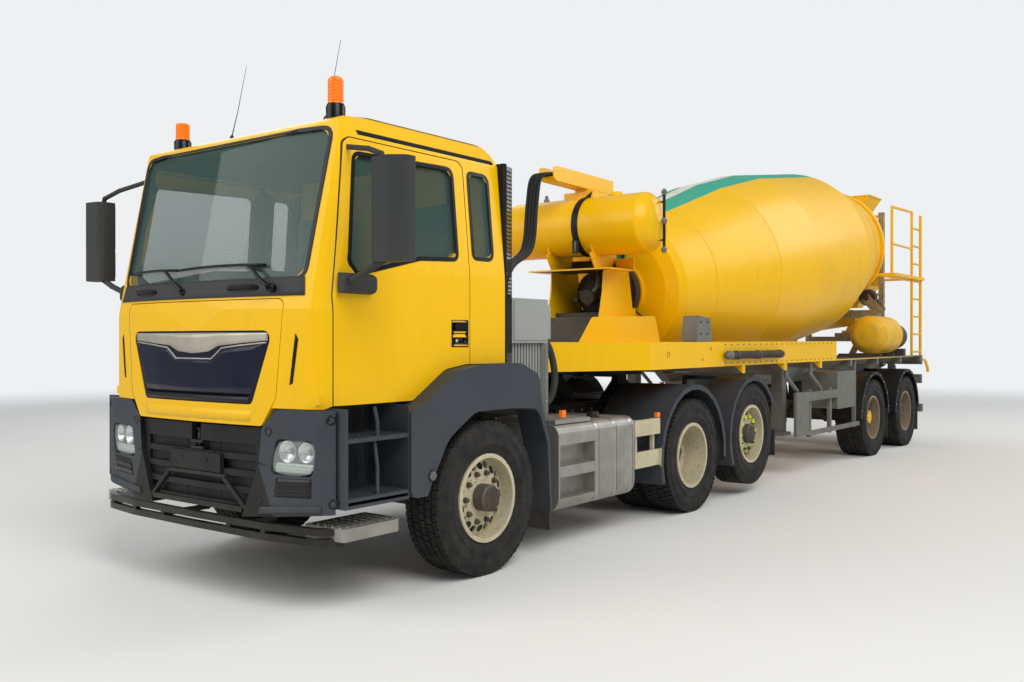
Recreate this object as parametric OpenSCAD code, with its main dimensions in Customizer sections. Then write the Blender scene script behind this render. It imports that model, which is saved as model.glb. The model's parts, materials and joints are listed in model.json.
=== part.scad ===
// Articulated concrete mixer truck: three-axle tractor unit and two-axle mixer semi-trailer.
// Millimetres. +X is forwards, +Y the vehicle's left, +Z up. The origin is on the ground,
// at the middle of the length. Tractor pieces are placed from the front axle, trailer pieces
// from the kingpin.

/* [Wheels] */
// Radius of every tyre
tyre_r = 522; // [500:1:535]
// Width of a tractor tyre
tyre_w = 312; // [290:1:320]
// Width of a trailer tyre
wide_tyre_w = 385; // [360:1:400]
// Bead seat radius of a rim
rim_r = 286; // [280:1:292]
// Distance from the centre line to the outer face of every tyre
tyre_out_y = 1235; // [1225:1:1245]
// Distance between the middles of twin tyres
twin_pitch = 345; // [335:1:360]
// Front axle to drive axle
wheelbase = 3030; // [3000:5:3060]
// Drive axle to tag axle
tag_pitch = 1340; // [1330:5:1360]
// Height that the tag axle is lifted off the ground
tag_lift = 95; // [80:5:110]
// Kingpin to first trailer axle
trailer_base = 5370; // [5340:5:5400]
// First to second trailer axle
trailer_pitch = 1560; // [1540:5:1580]

/* [Tractor] */
// Half width of the cab below its windows
cab_half_w = 1120; // [1110:1:1126]
// Half width of the cab at its roof
cab_top_half_w = 1035; // [1020:1:1050]
// Thickness of the cab's walls and doors
wall = 55; // [45:1:60]
// Front of the bumper, ahead of the front axle
nose_x = 1475; // [1465:1:1490]
// Outer face of a chassis rail from the centre line
rail_y = 430; // [420:1:440]
// Height of a chassis rail
rail_h = 270; // [250:1:280]
// Top of the chassis rails above the ground
rail_top = 1010; // [1000:1:1020]
// Kingpin behind the drive axle
kingpin_back = 70; // [40:5:100]
// Height of the coupling plane
coupling_z = 1310; // [1300:1:1320]

/* [Trailer] */
// Half width of the trailer
trailer_half_w = 1220; // [1210:1:1230]
// Depth of the trailer's side rail
side_rail_h = 240; // [230:1:250]
// Kingpin to the end of the frame
frame_back = 7860; // [7830:5:7900]
// Kingpin to the foot of the ladder
tail_back = 8470; // [8440:5:8500]

/* [Mixer] */
// Tilt of the drum's axis
drum_tilt = 8.2; // [8:0.1:8.6]
// Radius of the drum at its widest
drum_r = 1173; // [1165:1:1178]
// Wall thickness of the drum
drum_wall = 12; // [8:1:16]
// Radius of the track ring that runs on the rollers
ring_r = 875; // [870:1:880]
// Radius of the water tank
water_r = 290; // [280:1:300]
// Half length of the water tank
water_half = 900; // [880:5:920]

/* [Hidden] */
$fn = 48;
gap = 0.3;
kingpin_r = 25.4;
front_axle_x = (wheelbase + kingpin_back + tail_back - nose_x) / 2;
kingpin_x = front_axle_x - wheelbase - kingpin_back;
drum_x = -650;
drum_z = 2121;
side_z = 1571;
side_low = side_z - side_rail_h;
beam_top = 1331;
board_back = 3850;
water_z = 2710;
tank_x = 100;
arm_z = 3080;
hose_r = 17;
roller_r = 125;
ring_at = 6420;
roller_angle = 37;
ladder_x = [-7500, -8000];
ladder_y = 1150;
chute_x = -8130;
chute_pin_z = 1790;
chute_r = 250;
chute_slope = 8;

hub_z = tyre_r;
single_y = tyre_out_y - tyre_w / 2;
wide_y = tyre_out_y - wide_tyre_w / 2;
twin_y = single_y - twin_pitch / 2;
drive_x = -wheelbase;
tag_x = drive_x - tag_pitch;
king_y = 930;
rail_low = rail_top - rail_h;
cab_back = -310;
cab_front = nose_x;
screen_x = nose_x - 15;
screen_z = 1855;
screen_lean = 11.6;
roof_z = 3040;
bumper_back = cab_front - 92;
jaw_x = cab_front - 65;
jaw_z = 931;
jaw_r = 20.5;
door_gap = 6;
door_x = 1285;
door_back = 80;
door_hinge = [1288, cab_half_w];
flap_hinge_z = 1845;
rim_skin = 14;
hub_r = 140;
hub_in = -60;
spindle_r = 45;
spring_z = 690;
frame_end = -5060;
hanger_x = [800, -800];
flap_t = 42;
grille_bars = 9;
bar_pitch = 44;
tank_bands = [-1370, -1640, -1890];
plate_x = drive_x - kingpin_back;
// Beacons: x, y, foot, height of the base, height of the lens
beacons = [[1000, 806, 2985, 70, 150], [1000, -806, 2985, 45, 110]];

function unit(v) = v / norm(v);

// The arc that rounds corner q, between p and s, with radius r
function corner(p, q, s, r, n) =
    let (a = unit(p - q), b = unit(s - q), half = acos(a * b) / 2)
    let (c = q + unit(a + b) * r / sin(half), run = r / tan(half))
    let (t0 = q + a * run - c, t1 = q + b * run - c)
    let (a0 = atan2(t0.y, t0.x), d = atan2(t1.y, t1.x) - a0)
    let (turn = d > 180 ? d - 360 : d < -180 ? d + 360 : d)
    [for (i = [0:n]) c + r * [cos(a0 + turn * i / n), sin(a0 + turn * i / n)]];

// An outline from rows of [x, y, corner radius]
function outline(t, n = 4) = [for (i = [0:len(t) - 1])
    let (p = t[(i + len(t) - 1) % len(t)], q = t[i], s = t[(i + 1) % len(t)])
    each q[2] > 0 ? corner([p.x, p.y], [q.x, q.y], [s.x, s.y], q[2], n) : [[q.x, q.y]]];

// Points of an arc about c, from angle a0 to a1
function arc(c, r, a0, a1, n) =
    [for (i = [0:n]) c + r * [cos(a0 + (a1 - a0) * i / n), sin(a0 + (a1 - a0) * i / n)]];

// An outline in X and Z, from y0 to y1
module side(t, y0, y1, n = 4) {
    translate([0, y1, 0]) rotate([90, 0, 0]) linear_extrude(y1 - y0) polygon(outline(t, n));
}

// An outline in X and Y, from z0 to z1
module plan(t, z0, z1, n = 4) {
    translate([0, 0, z0]) linear_extrude(z1 - z0) polygon(outline(t, n));
}

// An outline in Y and Z, from x0 to x1
module face(t, x0, x1, n = 4) {
    translate([x0, 0, 0]) rotate([90, 0, 90]) linear_extrude(x1 - x0) polygon(outline(t, n));
}

module box(x0, x1, y0, y1, z0, z1) {
    translate([x0, y0, z0]) cube([x1 - x0, y1 - y0, z1 - z0]);
}

module both() {
    children();
    mirror([0, 1, 0]) children();
}

module rod(p, q, r, f = 24) {
    d = q - p;
    translate(p) rotate([0, acos(d.z / norm(d)), atan2(d.y, d.x)]) cylinder(h = norm(d), r = r, $fn = f);
}

// A tube through a list of points, with a welded ball at each bend
module pipe(path, r, f = 24) {
    for (i = [0:len(path) - 2]) rod(path[i], path[i + 1], r, f);
    for (i = [1:len(path) - 2]) translate(path[i]) sphere(r * 1.08, $fn = f);
}

module disc_y(x, z, r, y0, y1, f = 48) {
    translate([x, y1, z]) rotate([90, 0, 0]) cylinder(h = y1 - y0, r = r, $fn = f);
}

module from_axle() {
    translate([front_axle_x, 0, 0]) children();
}

module from_kingpin() {
    translate([kingpin_x, 0, 0]) children();
}

// Wheels: local +Z is outwards and z = 0 is the middle of the tyre
module tyre(w) {
    bead = 0.4 * w;
    lip = rim_r + rim_skin + 3;
    waist = rim_r + 0.35 * (tyre_r - rim_r);
    rotate_extrude($fn = 96) polygon(outline([[rim_r, -bead, 0], [lip, -bead, 0], [waist, -w / 2, 45],
        [tyre_r, -w / 2, 42], [tyre_r, w / 2, 42], [waist, w / 2, 45], [lip, bead, 0], [rim_r, bead, 0]]));
}

// A pressed steel wheel: dish is how far out its disc lies, nose how far the hub stands out of it
module rim(w, dish, nose, nose_r) {
    bead = 0.4 * w;
    barrel = rim_r - gap;
    face_z = dish + rim_skin;
    color("tan") difference() {
        rotate_extrude($fn = 96) polygon([[barrel - rim_skin, -bead - rim_skin], [rim_r + rim_skin, -bead - rim_skin],
            [rim_r + rim_skin, -bead - gap], [barrel, -bead - gap], [barrel, bead + gap],
            [rim_r + rim_skin, bead + gap], [rim_r + rim_skin, bead + rim_skin],
            [barrel - rim_skin, bead + rim_skin], [barrel - rim_skin, dish - 25], [185, face_z],
            [hub_r, face_z], [hub_r, dish], [180, dish], [barrel - rim_skin, dish - 45]]);
        for (i = [0:9]) rotate(36 * i) translate([222, 0, dish - 80]) cylinder(h = 160, r = 28, $fn = 24);
    }
    color("dimgray") rotate_extrude($fn = 48) polygon([[spindle_r + gap, hub_in], [hub_r, hub_in],
        [hub_r, face_z], [nose_r, face_z], [nose_r, face_z + nose - 12], [nose_r - 12, face_z + nose],
        [0, face_z + nose], [0, face_z], [spindle_r + gap, face_z]]);
}

// Two wheels bolted back to back: z = 0 is the plane where their discs meet
module twin_rims() {
    bead = 0.4 * tyre_w;
    barrel = rim_r - gap;
    mid = twin_pitch / 2;
    color("tan") for (s = [1, -1]) rotate([s > 0 ? 0 : 180, 0, 0]) difference() {
        rotate_extrude($fn = 96) polygon([[barrel - rim_skin, mid - bead - rim_skin],
            [rim_r + rim_skin, mid - bead - rim_skin], [rim_r + rim_skin, mid - bead - gap],
            [barrel, mid - bead - gap], [barrel, mid + bead + gap], [rim_r + rim_skin, mid + bead + gap],
            [rim_r + rim_skin, mid + bead + rim_skin], [barrel - rim_skin, mid + bead + rim_skin],
            [barrel - rim_skin, 85], [185, rim_skin], [hub_r, rim_skin], [hub_r, 0], [190, 0],
            [barrel - rim_skin, 68]]);
        for (i = [0:7]) rotate(45 * i) translate([228, 0, -1]) cylinder(h = 110, r = 26, $fn = 24);
    }
    color("dimgray") rotate_extrude($fn = 48) polygon([[spindle_r + gap, -150], [hub_r, -150], [hub_r, rim_skin],
        [112, rim_skin], [112, 120], [100, 135], [0, 135], [0, 60], [spindle_r + gap, 60]]);
}

// Puts a wheel's local frame at its hub: x, height of the hub, distance out, side 1 left or -1 right
module at_hub(x, z, y, s) {
    translate([x, s * y, z]) rotate([-90 * s, 0, 0]) children();
}

module front_tyre(s) { color("#1b1b1c") from_axle() at_hub(0, hub_z, single_y, s) tyre(tyre_w); }
module front_rim(s) { from_axle() at_hub(0, hub_z, single_y, s) rim(tyre_w, 60, 95, 92); }
module drive_tyres(s) {
    color("#1b1b1c") from_axle() at_hub(drive_x, hub_z, twin_y, s)
        for (m = [-1, 1]) translate([0, 0, m * twin_pitch / 2]) tyre(tyre_w);
}
module drive_rims(s) { from_axle() at_hub(drive_x, hub_z, twin_y, s) twin_rims(); }
module tag_tyre(s) { color("#1b1b1c") from_axle() at_hub(tag_x, hub_z + tag_lift, single_y, s) tyre(tyre_w); }
module tag_rim(s) { from_axle() at_hub(tag_x, hub_z + tag_lift, single_y, s) rim(tyre_w, 60, 60, 100); }
module trailer_tyre(i, s) {
    color("#1b1b1c") from_kingpin() at_hub(-trailer_base - i * trailer_pitch, hub_z, wide_y, s) tyre(wide_tyre_w);
}
module trailer_rim(i, s) {
    from_kingpin() at_hub(-trailer_base - i * trailer_pitch, hub_z, wide_y, s) rim(wide_tyre_w, 30, 70, 105);
}

// Outer form of the cab, inset by t: the outlines seen from the side, the front and above
module cab_form(t) {
    top = roof_z - t;
    intersection() {
        side([[cab_back + t, 1000, 0], [cab_back + t, roof_z - 60 - t, 130], [250, top, 900],
            [1130 - t, roof_z - 95 - t, 240], [1262 - t, 2820, 60], [screen_x - t, screen_z, 120],
            [cab_front - t, 1640, 300], [cab_front - t, 1000, 0]], -1300, 1300, 5);
        face([[cab_half_w - t, 1000, 0], [cab_half_w - t, 2020, 900], [cab_top_half_w + 12 - t, 2830, 60],
            [930 - t, roof_z - 45 - t, 150], [0, top, 0], [t - 930, roof_z - 45 - t, 150],
            [t - cab_top_half_w - 12, 2830, 60], [t - cab_half_w, 2020, 900], [t - cab_half_w, 1000, 0]],
            -600, 1700, 5);
        translate([cab_front, 0, 0]) cab_plan(t, 1000, 3200);
        translate([screen_x, 0, screen_z]) rotate([0, -screen_lean, 0]) cab_plan(t, -1000, 1500);
    }
}

// Rounded nose of the cab from above, measured back from its front
module cab_plan(t, z0, z1) {
    plan([[-2600, t - cab_half_w, 0], [-112 - t, t - cab_half_w, 190 - t], [-45 - t, -740, 0], [-12 - t, -400, 0],
        [-t, 0, 0], [-12 - t, 400, 0], [-45 - t, 740, 0], [-112 - t, cab_half_w - t, 190 - t],
        [-2600, cab_half_w - t, 0]], z0, z1, 6);
}

// What lies under the cab's lower edge, with the front wheel arch
module under_cab(x1) {
    side([[-400, 900, 0], [-400, 1430, 0], [110, 1430, 200], [330, 1400, 200], [640, 1210, 60], [1290, 1210, 0],
        [1330, 1190, 0], [x1, 1190, 0], [x1, 900, 0]], -1300, 1300);
}

// The doors' outline, grown by g
module door_outline(y0, y1, g) {
    side([[door_back - g, 1100, 0], [door_back - g, 2800 + g, 70], [1150 + g, 2800 + g, 50],
        [door_x + g, 1850, 200], [door_x + g, 1100, 0]], y0, y1);
}

module door_window(y0, y1, g) {
    side([[205 - g, 2140 - g, 50], [205 - g, 2725 + g, 60], [1075 + g, 2700 + g, 60], [1165 + g, 2050, 40],
        [1100 + g, 2000 - g, 40], [560, 2125 - g, 200]], y0, y1);
}

module quarter_window(y0, y1, g) {
    side([[-175 - g, 2160 - g, 60], [-175 - g, 2725 + g, 60], [15 + g, 2725 + g, 40], [15 + g, 2160 - g, 40]], y0, y1);
}

module screen_hole(x0, x1, g) {
    face([[-925 - g, 1965 - g, 80], [925 + g, 1965 - g, 80], [950 + g, 2855 + g, 70], [-950 - g, 2855 + g, 70]],
        x0, x1);
}

// Outline of the front flap, grown by g
module flap_outline(x0, x1, g) {
    face([[-640 - g, 1080 - g, 30], [640 + g, 1080 - g, 30], [755 + g, 1245, 60], [815 + g, 1835 + g, 50],
        [-815 - g, 1835 + g, 50], [-755 - g, 1245, 60]], x0, x1);
}

module grille_outline(x0, x1, g) {
    face([[-560 - g, 1205 - g, 40], [560 + g, 1205 - g, 40], [735 + g, 1650 + g, 50], [-735 - g, 1650 + g, 50]],
        x0, x1);
}

module cab_shell() {
    color("gold") from_axle() {
        difference() {
            cab_form(0);
            intersection() {
                cab_form(wall);
                box(-600, cab_front - 110, -1300, 1300, 900, 3200);
            }
            under_cab(1600);
            both() door_outline(950, 1300, door_gap);
            both() quarter_window(950, 1300, 0);
            screen_hole(1000, 1600, 0);
            flap_outline(cab_front - 52 - 45, 1600, 5);
        }
        difference() {
            side([[cab_back + wall - 1, 1436, 0], [110, 1436, 200], [340, 1405, 200], [650, 1216, 60],
                [cab_front - 112, 1216, 0], [cab_front - 112, 1266, 0], [690, 1266, 60], [410, 1486, 100],
                [cab_back + wall - 1, 1486, 0]], 5 + wall - cab_half_w, cab_half_w - wall - 5);
            box(-200, 1100, -400, 400, 900, 1440);
        }
        both() intersection() {
            cab_form(flap_t + gap);
            box(cab_front - 98, cab_front, 600, 660, 1196, 1240);
        }
        difference() {
            box(-200, 1140, -440, 440, 1266, 1480);
            box(-201, 1100, -400, 400, 1200, 1440);
        }
    }
}

module door(s) {
    color("gold") from_axle() mirror([0, s > 0 ? 0 : 1, 0]) difference() {
        intersection() {
            cab_form(0);
            door_outline(900, 1300, 0);
            translate(door_hinge) cylinder(h = 3000, r = door_hinge.x - door_back, $fn = 360);
        }
        cab_form(wall);
        under_cab(1600);
        door_window(900, 1300, 0);
        box(0, 1400, 0, cab_half_w - wall + 1, 900, 1950);
        box(0, 1400, 0, cab_half_w - 135, 900, 3000);
        box(100, 262, cab_half_w - 12, 1300, 1560, 1710);
    }
    color("#222222") from_axle() mirror([0, s > 0 ? 0 : 1, 0]) box(112, 250, cab_half_w - 12, cab_half_w - 2, 1610, 1650);
}

module door_glass(s) {
    color("#5a6a66") from_axle() mirror([0, s > 0 ? 0 : 1, 0]) difference() {
        intersection() {
            cab_form(22);
            door_window(900, 1300, -gap);
        }
        cab_form(30);
    }
}

module cab_glass() {
    color("#5a6a66") from_axle() {
        difference() {
            intersection() {
                cab_form(10);
                screen_hole(1000, 1600, -gap);
            }
            cab_form(20);
        }
        both() difference() {
            intersection() {
                cab_form(10);
                quarter_window(900, 1300, -gap);
            }
            cab_form(18);
        }
    }
}

module front_flap() {
    color("gold") from_axle() difference() {
        intersection() {
            cab_form(0);
            flap_outline(1200, 1600, 0);
        }
        cab_form(flap_t);
        box(0, cab_front - 90, -900, 900, 1000, 1900);
        grille_outline(1200, 1600, 0);
        face([[-520, 1112, 18], [520, 1112, 18], [545, 1160, 18], [-545, 1160, 18]], 1200, 1600);
    }
}

// Grille: a curved panel behind a row of bars, in a trapezoid frame
module grille() {
    color("#15171f") from_axle() difference() {
        intersection() {
            cab_form(4);
            grille_outline(1200, 1600, -gap);
        }
        cab_form(34);
        box(0, cab_front - 140, -900, 900, 1000, 1900);
        difference() {
            union() for (i = [0:grille_bars - 1])
                box(1300, 1600, -800, 800, 1240 + i * bar_pitch, 1240 + (i + 0.6) * bar_pitch);
            cab_form(22);
            grille_frame();
        }
    }
}

// What of the grille stays solid: its rim and the deep panel across its middle
module grille_frame() {
    difference() {
        grille_outline(1250, 1650, 1);
        grille_outline(1200, 1700, -28);
    }
    face([[-640, 1430, 30], [0, 1370, 300], [640, 1430, 30], [715, 1600, 30], [0, 1540, 300], [-715, 1600, 30]],
        1250, 1650);
}

// Bumper outline from above, inset by t
module bumper_plan(t, z0, z1) {
    plan([[1000, t - 1240, 0], [1363 - t, t - 1240, 200 - t], [cab_front - 45 - t, -740, 0],
        [cab_front - 12 - t, -400, 0], [cab_front - t, 0, 0], [cab_front - 12 - t, 400, 0],
        [cab_front - 45 - t, 740, 0], [1363 - t, 1240 - t, 200 - t], [1000, 1240 - t, 0]], z0, z1, 6);
}

module headlamp_outline(x0, x1, g) {
    face([[708 - g, 800 - g, 30], [1040 + g, 800 - g, 50], [1075 + g, 1010 + g, 60], [760 - g, 1010 + g, 40]], x0, x1);
}

module bumper() {
    color("#3a3f45") from_axle() {
        both() difference() {
            intersection() {
                bumper_plan(0, 500, 1186);
                face([[475, 525, 0], [1240, 600, 60], [1241, 1186, 0], [765, 1186, 40], [645, 1072, 30], [620, 860, 60]],
                    1000, 1600);
                box(1335, 1600, 0, 1300, 400, 1200);
            }
            bumper_plan(65, 560, 1150);
            headlamp_outline(1200, 1600, 0);
            for (z = [680, 712, 744]) face([[760, z, 6], [1010, z + 12, 6], [1010, z + 24, 6], [765, z + 14, 6]],
                1300, 1600, 2);
        }
        difference() {
            intersection() {
                bumper_plan(30, 540, 1066);
                box(cab_front - 140, 1600, -660, 660, 400, 1200);
                face([[-560, 560, 0], [560, 560, 0], [622, 860, 40], [646, 1066, 0], [-646, 1066, 0], [-622, 860, 40]],
                    1000, 1600);
            }
            bumper_plan(75, 400, 1060);
            for (z = [600, 700, 800, 900]) box(1300, 1600, -560, 560, z, z + 62);
            box(1300, 1600, -48, 48, jaw_z, 1070);
        }
        for (y = [-560, -190, 158, 526]) box(cab_front - 103, cab_front - 75, y, y + 34, 560, 1060);
        difference() {
            box(bumper_back, cab_front - 77, -600, 600, 562, 1058);
            box(bumper_back - 1, cab_front, -68, 68, jaw_z - 35, 1070);
        }
        box(cab_front - 46, cab_front - 22, -265, 265, 770, 890);
    }
}

// Lamps: headlamps, side markers, roof beacons and the tractor's tail lamps
module lamps() {
    color("gainsboro") from_axle() both() difference() {
        intersection() {
            bumper_plan(6, 700, 1100);
            headlamp_outline(1200, 1600, -gap);
        }
        bumper_plan(58, 700, 1100);
    }
    color("orange") from_axle() {
        for (b = beacons) translate([b[0], b[1], 0]) {
            difference() {
                translate([0, 0, b[2] - 90]) cylinder(h = b[3] + 90, r = 62);
                translate([-b[0], -b[1], 0]) cab_form(-gap);
            }
            translate([0, 0, b[2] + b[3]]) cylinder(h = b[4], r = 50);
            translate([0, 0, b[2] + b[3] + b[4]]) cylinder(h = 22, r1 = 50, r2 = 30);
        }
    }
    color("darkred") from_axle() both() box(frame_end - 80, frame_end - 30 - gap, 560, 900, 720, 860);
}

// Underrun bar in front, bent back to a tread at each side
module underrun_bar() {
    color("#202225") from_axle() for (z = [411, 472])
        plan([[1288, -1190, 0], [nose_x - 70, -1100, 160], [nose_x - 12, -700, 600], [nose_x, 0, 0],
            [nose_x - 12, 700, 600], [nose_x - 70, 1100, 160], [1288, 1190, 0], [1260, 1160, 0],
            [nose_x - 110, 1072, 120], [nose_x - 54, 690, 560], [nose_x - 42, 0, 0], [nose_x - 54, -690, 560],
            [nose_x - 110, -1072, 120], [1260, -1160, 0]], z, z + 40);
    color("silver") from_axle() both() difference() {
        plan([[850, 905, 20], [1330, 905, 10], [1330, 1235, 20], [850, 1235, 60]], 440, 514);
        plan([[870, 925, 10], [1310, 925, 10], [1310, 1215, 10], [870, 1215, 30]], 439, 500);
        for (x = [900:60:1260]) box(x, x + 26, 950, 1190, 499, 515);
    }
    color("#202225") from_axle() both() {
        box(1105, nose_x - 40, 330, 370, 440, 470 - gap);
        for (y = [330, 660]) box(nose_x - 50, nose_x - 14, y, y + 40, 430, 492);
    }
}

// Front wings with the entry steps, one to each side
module cab_fenders() {
    color("#3a3f45") from_axle() both() {
        difference() {
            side([[790, 620, 60], [790, 1150, 20], [650, 1204, 20], [335, 1394, 200], [110, 1424, 30],
                [72, 1424, 0], [70, 1430 - gap, 0], [cab_back, 1430 - gap, 0], [-345, 1424, 10], [-545, 1345, 60], [-580, 1129, 30], [-680, 870, 60], [-710, 330, 10],
                [-688, 330, 10], [-652, 840, 60], [-540, 1100, 120], [-200, 1118, 300], [170, 1118, 200],
                [440, 960, 220], [600, 700, 60], [640, 620, 10]], 1020, 1250);
            side([[740, 560, 60], [740, 1130, 20], [632, 1170, 20], [325, 1364, 200], [100, 1394, 200],
                [-330, 1394, 40], [-512, 1325, 40], [-550, 1129, 30], [-650, 870, 60], [-690, 300, 0],
                [-670, 300, 10], [-632, 840, 60], [-520, 1120, 120], [-200, 1142, 300], [185, 1142, 200],
                [465, 975, 220], [625, 700, 60], [655, 560, 10]], 1000, 1222);
        }
        difference() {
            box(775, 1318, 830, 1235, 622, 1196);
            plan([[800, 850, 60], [1296, 850, 60], [1296, 1236, 0], [800, 1236, 0]], 1024, 1197);
            plan([[800, 850, 60], [1296, 850, 60], [1296, 1236, 0], [800, 1236, 0]], 680, 1000);
            box(800, 1296, 1010, 1236, 640, 661);
            box(774, 795, 980, 1236, 600, 1200);
        }
        box(800, 1296, 830, 850, 1150, 1216 - gap);
    }
}

module air_intake() {
    color("#2c2e31") from_axle() difference() {
        plan([[-430, 930, 20], [cab_back - gap, 930, 0], [cab_back - gap, cab_half_w - 15, 0],
            [-330, cab_half_w, 20], [-430, 1040, 60]],
            1436, 2845);
        for (z = [1900:70:2780]) box(-432, -425, 935, 1030, z, z + 40);
    }
    color("#2c2e31") from_axle() rod([-370, 985, 1440], [-370, 985, 1250], 34);
}

// Dashboard, steering wheel and two seats
module cab_interior() {
    color("#2f3236") from_axle() {
        intersection() {
            side([[860, 1500, 60], [1010, 1850, 90], [1180, 1925, 60], [1300, 1900, 20], [1500, 1880, 0],
                [1500, 1560, 0], [1190, 1480, 60]], -1030, 1030);
            cab_form(wall + gap);
            box(800, cab_front - 110 - gap, -1100, 1100, 1400, 2000);
        }
        translate([860, 560, 1900]) rotate([0, -62, 0]) rotate_extrude($fn = 48) translate([215, 0]) circle(16, $fn = 16);
        rod([860, 560, 1900], [1010, 560, 1816], 32);
        difference() {
            translate([860, 560, 1900]) rotate([0, -62, 0]) cylinder(h = 24, r = 206, center = true);
            for (a = [90, 210, 330]) translate([860, 560, 1900]) rotate([0, -62, 0]) rotate(a)
                translate([130, 0, 0]) cylinder(h = 60, r = 62, center = true);
        }
    }
    color("#4b4f55") from_axle() for (y = [560, -560]) {
        side([[-40, 1780, 50], [470, 1800, 60], [490, 1680, 40], [0, 1640, 40]], y - 250, y + 250);
        side([[-34, 1700, 0], [-190, 2330, 60], [-156, 2560, 28], [-90, 2560, 28], [-90, 2330, 60], [66, 1740, 0]],
            y - 225, y + 225);
        box(60, 380, y - 110, y + 110, 1486 + gap, 1720);
    }
}

// Chassis rails with their cross members, spring hangers and tank brackets
module tractor_frame() {
    front_end = 1150;
    color("#26282b") from_axle() {
        both() {
            difference() {
                box(frame_end, front_end, rail_y - 80, rail_y, rail_low, rail_top);
                box(frame_end - 1, front_end + 1, rail_y - 81, rail_y - 9, rail_low + 9, rail_top - 9);
            }
            for (x = hanger_x) side([[x - 60, rail_low, 0], [x + 60, rail_low, 0], [x + 26, spring_z, 20],
                [x - 26, spring_z, 20]], rail_y - 62, rail_y - 8);
            for (x = [-860, -1900]) box(x - 30, x + 30, rail_y, 478, rail_low + 20, rail_top - 30);
            for (x = [660, -150]) box(x - 70, x + 70, 340 + gap, rail_y - 5, 800, 950);
            box(720, 1120, rail_y, 520, 830, 1000);
            box(1100, 1150, 260, rail_y - 5, 470, 800);
            box(1100, bumper_back - gap, 380, rail_y - 5, 790, 960);
            box(1105, 1150, rail_y - 80, rail_y, rail_top - 5, 1216 - gap);
            box(-250, -205, rail_y - 80, rail_y, rail_top - 5, 1436 - gap);
        }
        box(frame_end - 30, frame_end, -900, 900, 750, 830);
        difference() {
            box(1100, cab_front - 35, -60, 60, jaw_z - 28, jaw_z + 28);
            box(cab_front - 105, cab_front, -61, 61, jaw_z - 13, jaw_z + 13);
            translate([jaw_x, 0, jaw_z - 60]) cylinder(h = 120, r = jaw_r);
        }
        for (x = [1080, -1750, -2560, -3640, frame_end + 60])
            box(x - 40, x + 40, 9 - rail_y, rail_y - 9, rail_low + 40, rail_top - 40);
    }
}

module engine() {
    color("#55585c") from_axle() {
        side([[-560, 640, 60], [-560, 1130, 80], [-400, 1400, 60], [560, 1400, 80], [780, 1330, 60], [780, 620, 60]],
            -340, 340);
        side([[-1400, 720, 60], [-1400, 990, 60], [-559, 1100, 0], [-559, 660, 0]], -230, 230);
    }
}

// Fuel tank with its steps on the left, exhaust box and air tanks on the right
module side_tanks() {
    in_y = 478 + gap;
    color("#b9b6ad") from_axle() {
        difference() {
            face([[in_y, 300, 50], [1225, 300, 110], [1225, 955, 90], [in_y, 955, 60]], -1945, -830, 6);
            box(-1330, -850, 1120, 1300, 400, 560);
            box(-1330, -850, 1120, 1300, 640, 800);
            for (x = tank_bands) difference() {
                box(x - 25, x + 25, 400, 1300, 200, 1000);
                face([[in_y, 306, 50], [1219, 306, 104], [1219, 949, 84], [in_y, 949, 54]], x - 26, x + 26, 6);
            }
        }
        box(-1330, -850, 620, 1180, 955 + gap, 985);
    }
    color("#6b6d6f") from_axle() mirror([0, 1, 0]) {
        face([[in_y, 330, 40], [1200, 330, 90], [1200, 930, 90], [in_y, 930, 40]], -1500, -830, 5);
        for (z = [450, 760]) rod([-1990, 640, z], [-1520, 640, z], 130, 48);
        box(-1900, -1870, in_y, 530, 700, 820);
        box(-1900, -1870, 600, 680, 560, 650);
    }
}

// Hydraulic oil cabinet behind the cab, its cooler below and the cooler's fan
module hydraulic_cabinet() {
    color("#b4b8ba") from_axle() {
        plan([[-960, 330, 12], [-500, 330, 12], [-500, 1040, 12], [-960, 1040, 12]], 1570, 1900, 2);
        box(-945, -900, 1000, 1040, 1010 + gap, 1570);
        box(-945, -900, 345, 385, 1010 + gap, 1570);
        box(-545, -500, 345, 385, 1010 + gap, 1570);
        box(-945, -900, 385, 1000, 1010 + gap, 1060);
        box(-545, -500, 385, rail_y, 1010 + gap, 1060);
        box(-900, -545, 345, 385, 1010 + gap, 1060);
    }
    color("#84888a") from_axle() for (i = [0:9]) box(-885 + i * 36, -885 + i * 36 + 18, 470, 1010, 1110, 1570);
    color("#8c2f28") from_axle() {
        rod([-950, 700, 1740], [-1010, 700, 1740], 120, 40);
        rod([-1010, 700, 1740], [-1050, 700, 1740], 88, 40);
    }
}

// Coupling plate on its pedestals, open at the back for the kingpin
module fifth_wheel() {
    color("#1f2022") from_axle() {
        difference() {
            plan([[plate_x + 330, -150, 60], [plate_x + 330, 150, 60], [plate_x + 180, 430, 120],
                [plate_x - 200, 470, 60], [plate_x - 560, 330, 40], [plate_x - 420, 60, 30], [plate_x, kingpin_r + gap, 0],
                [plate_x, -kingpin_r - gap, 0], [plate_x - 420, -60, 30], [plate_x - 560, -330, 40],
                [plate_x - 200, -470, 60], [plate_x + 180, -430, 120]], coupling_z - 60, coupling_z);
            translate([plate_x, 0, coupling_z - 100]) cylinder(h = 200, r = kingpin_r + gap);
        }
        both() {
            side([[plate_x - 330, rail_top + gap, 0], [plate_x + 330, rail_top + gap, 0], [plate_x + 300, rail_top + 26, 20],
                [plate_x + 90, coupling_z - 110, 20], [plate_x + 90, coupling_z - 60, 0], [plate_x - 90, coupling_z - 60, 0],
                [plate_x - 90, coupling_z - 110, 20], [plate_x - 300, rail_top + 26, 20]], rail_y - 80, rail_y - 15);
        }
        box(plate_x - 300, plate_x + 300, 80 - rail_y, rail_y - 80, rail_top + gap, rail_top + 14);
    }
}

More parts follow.
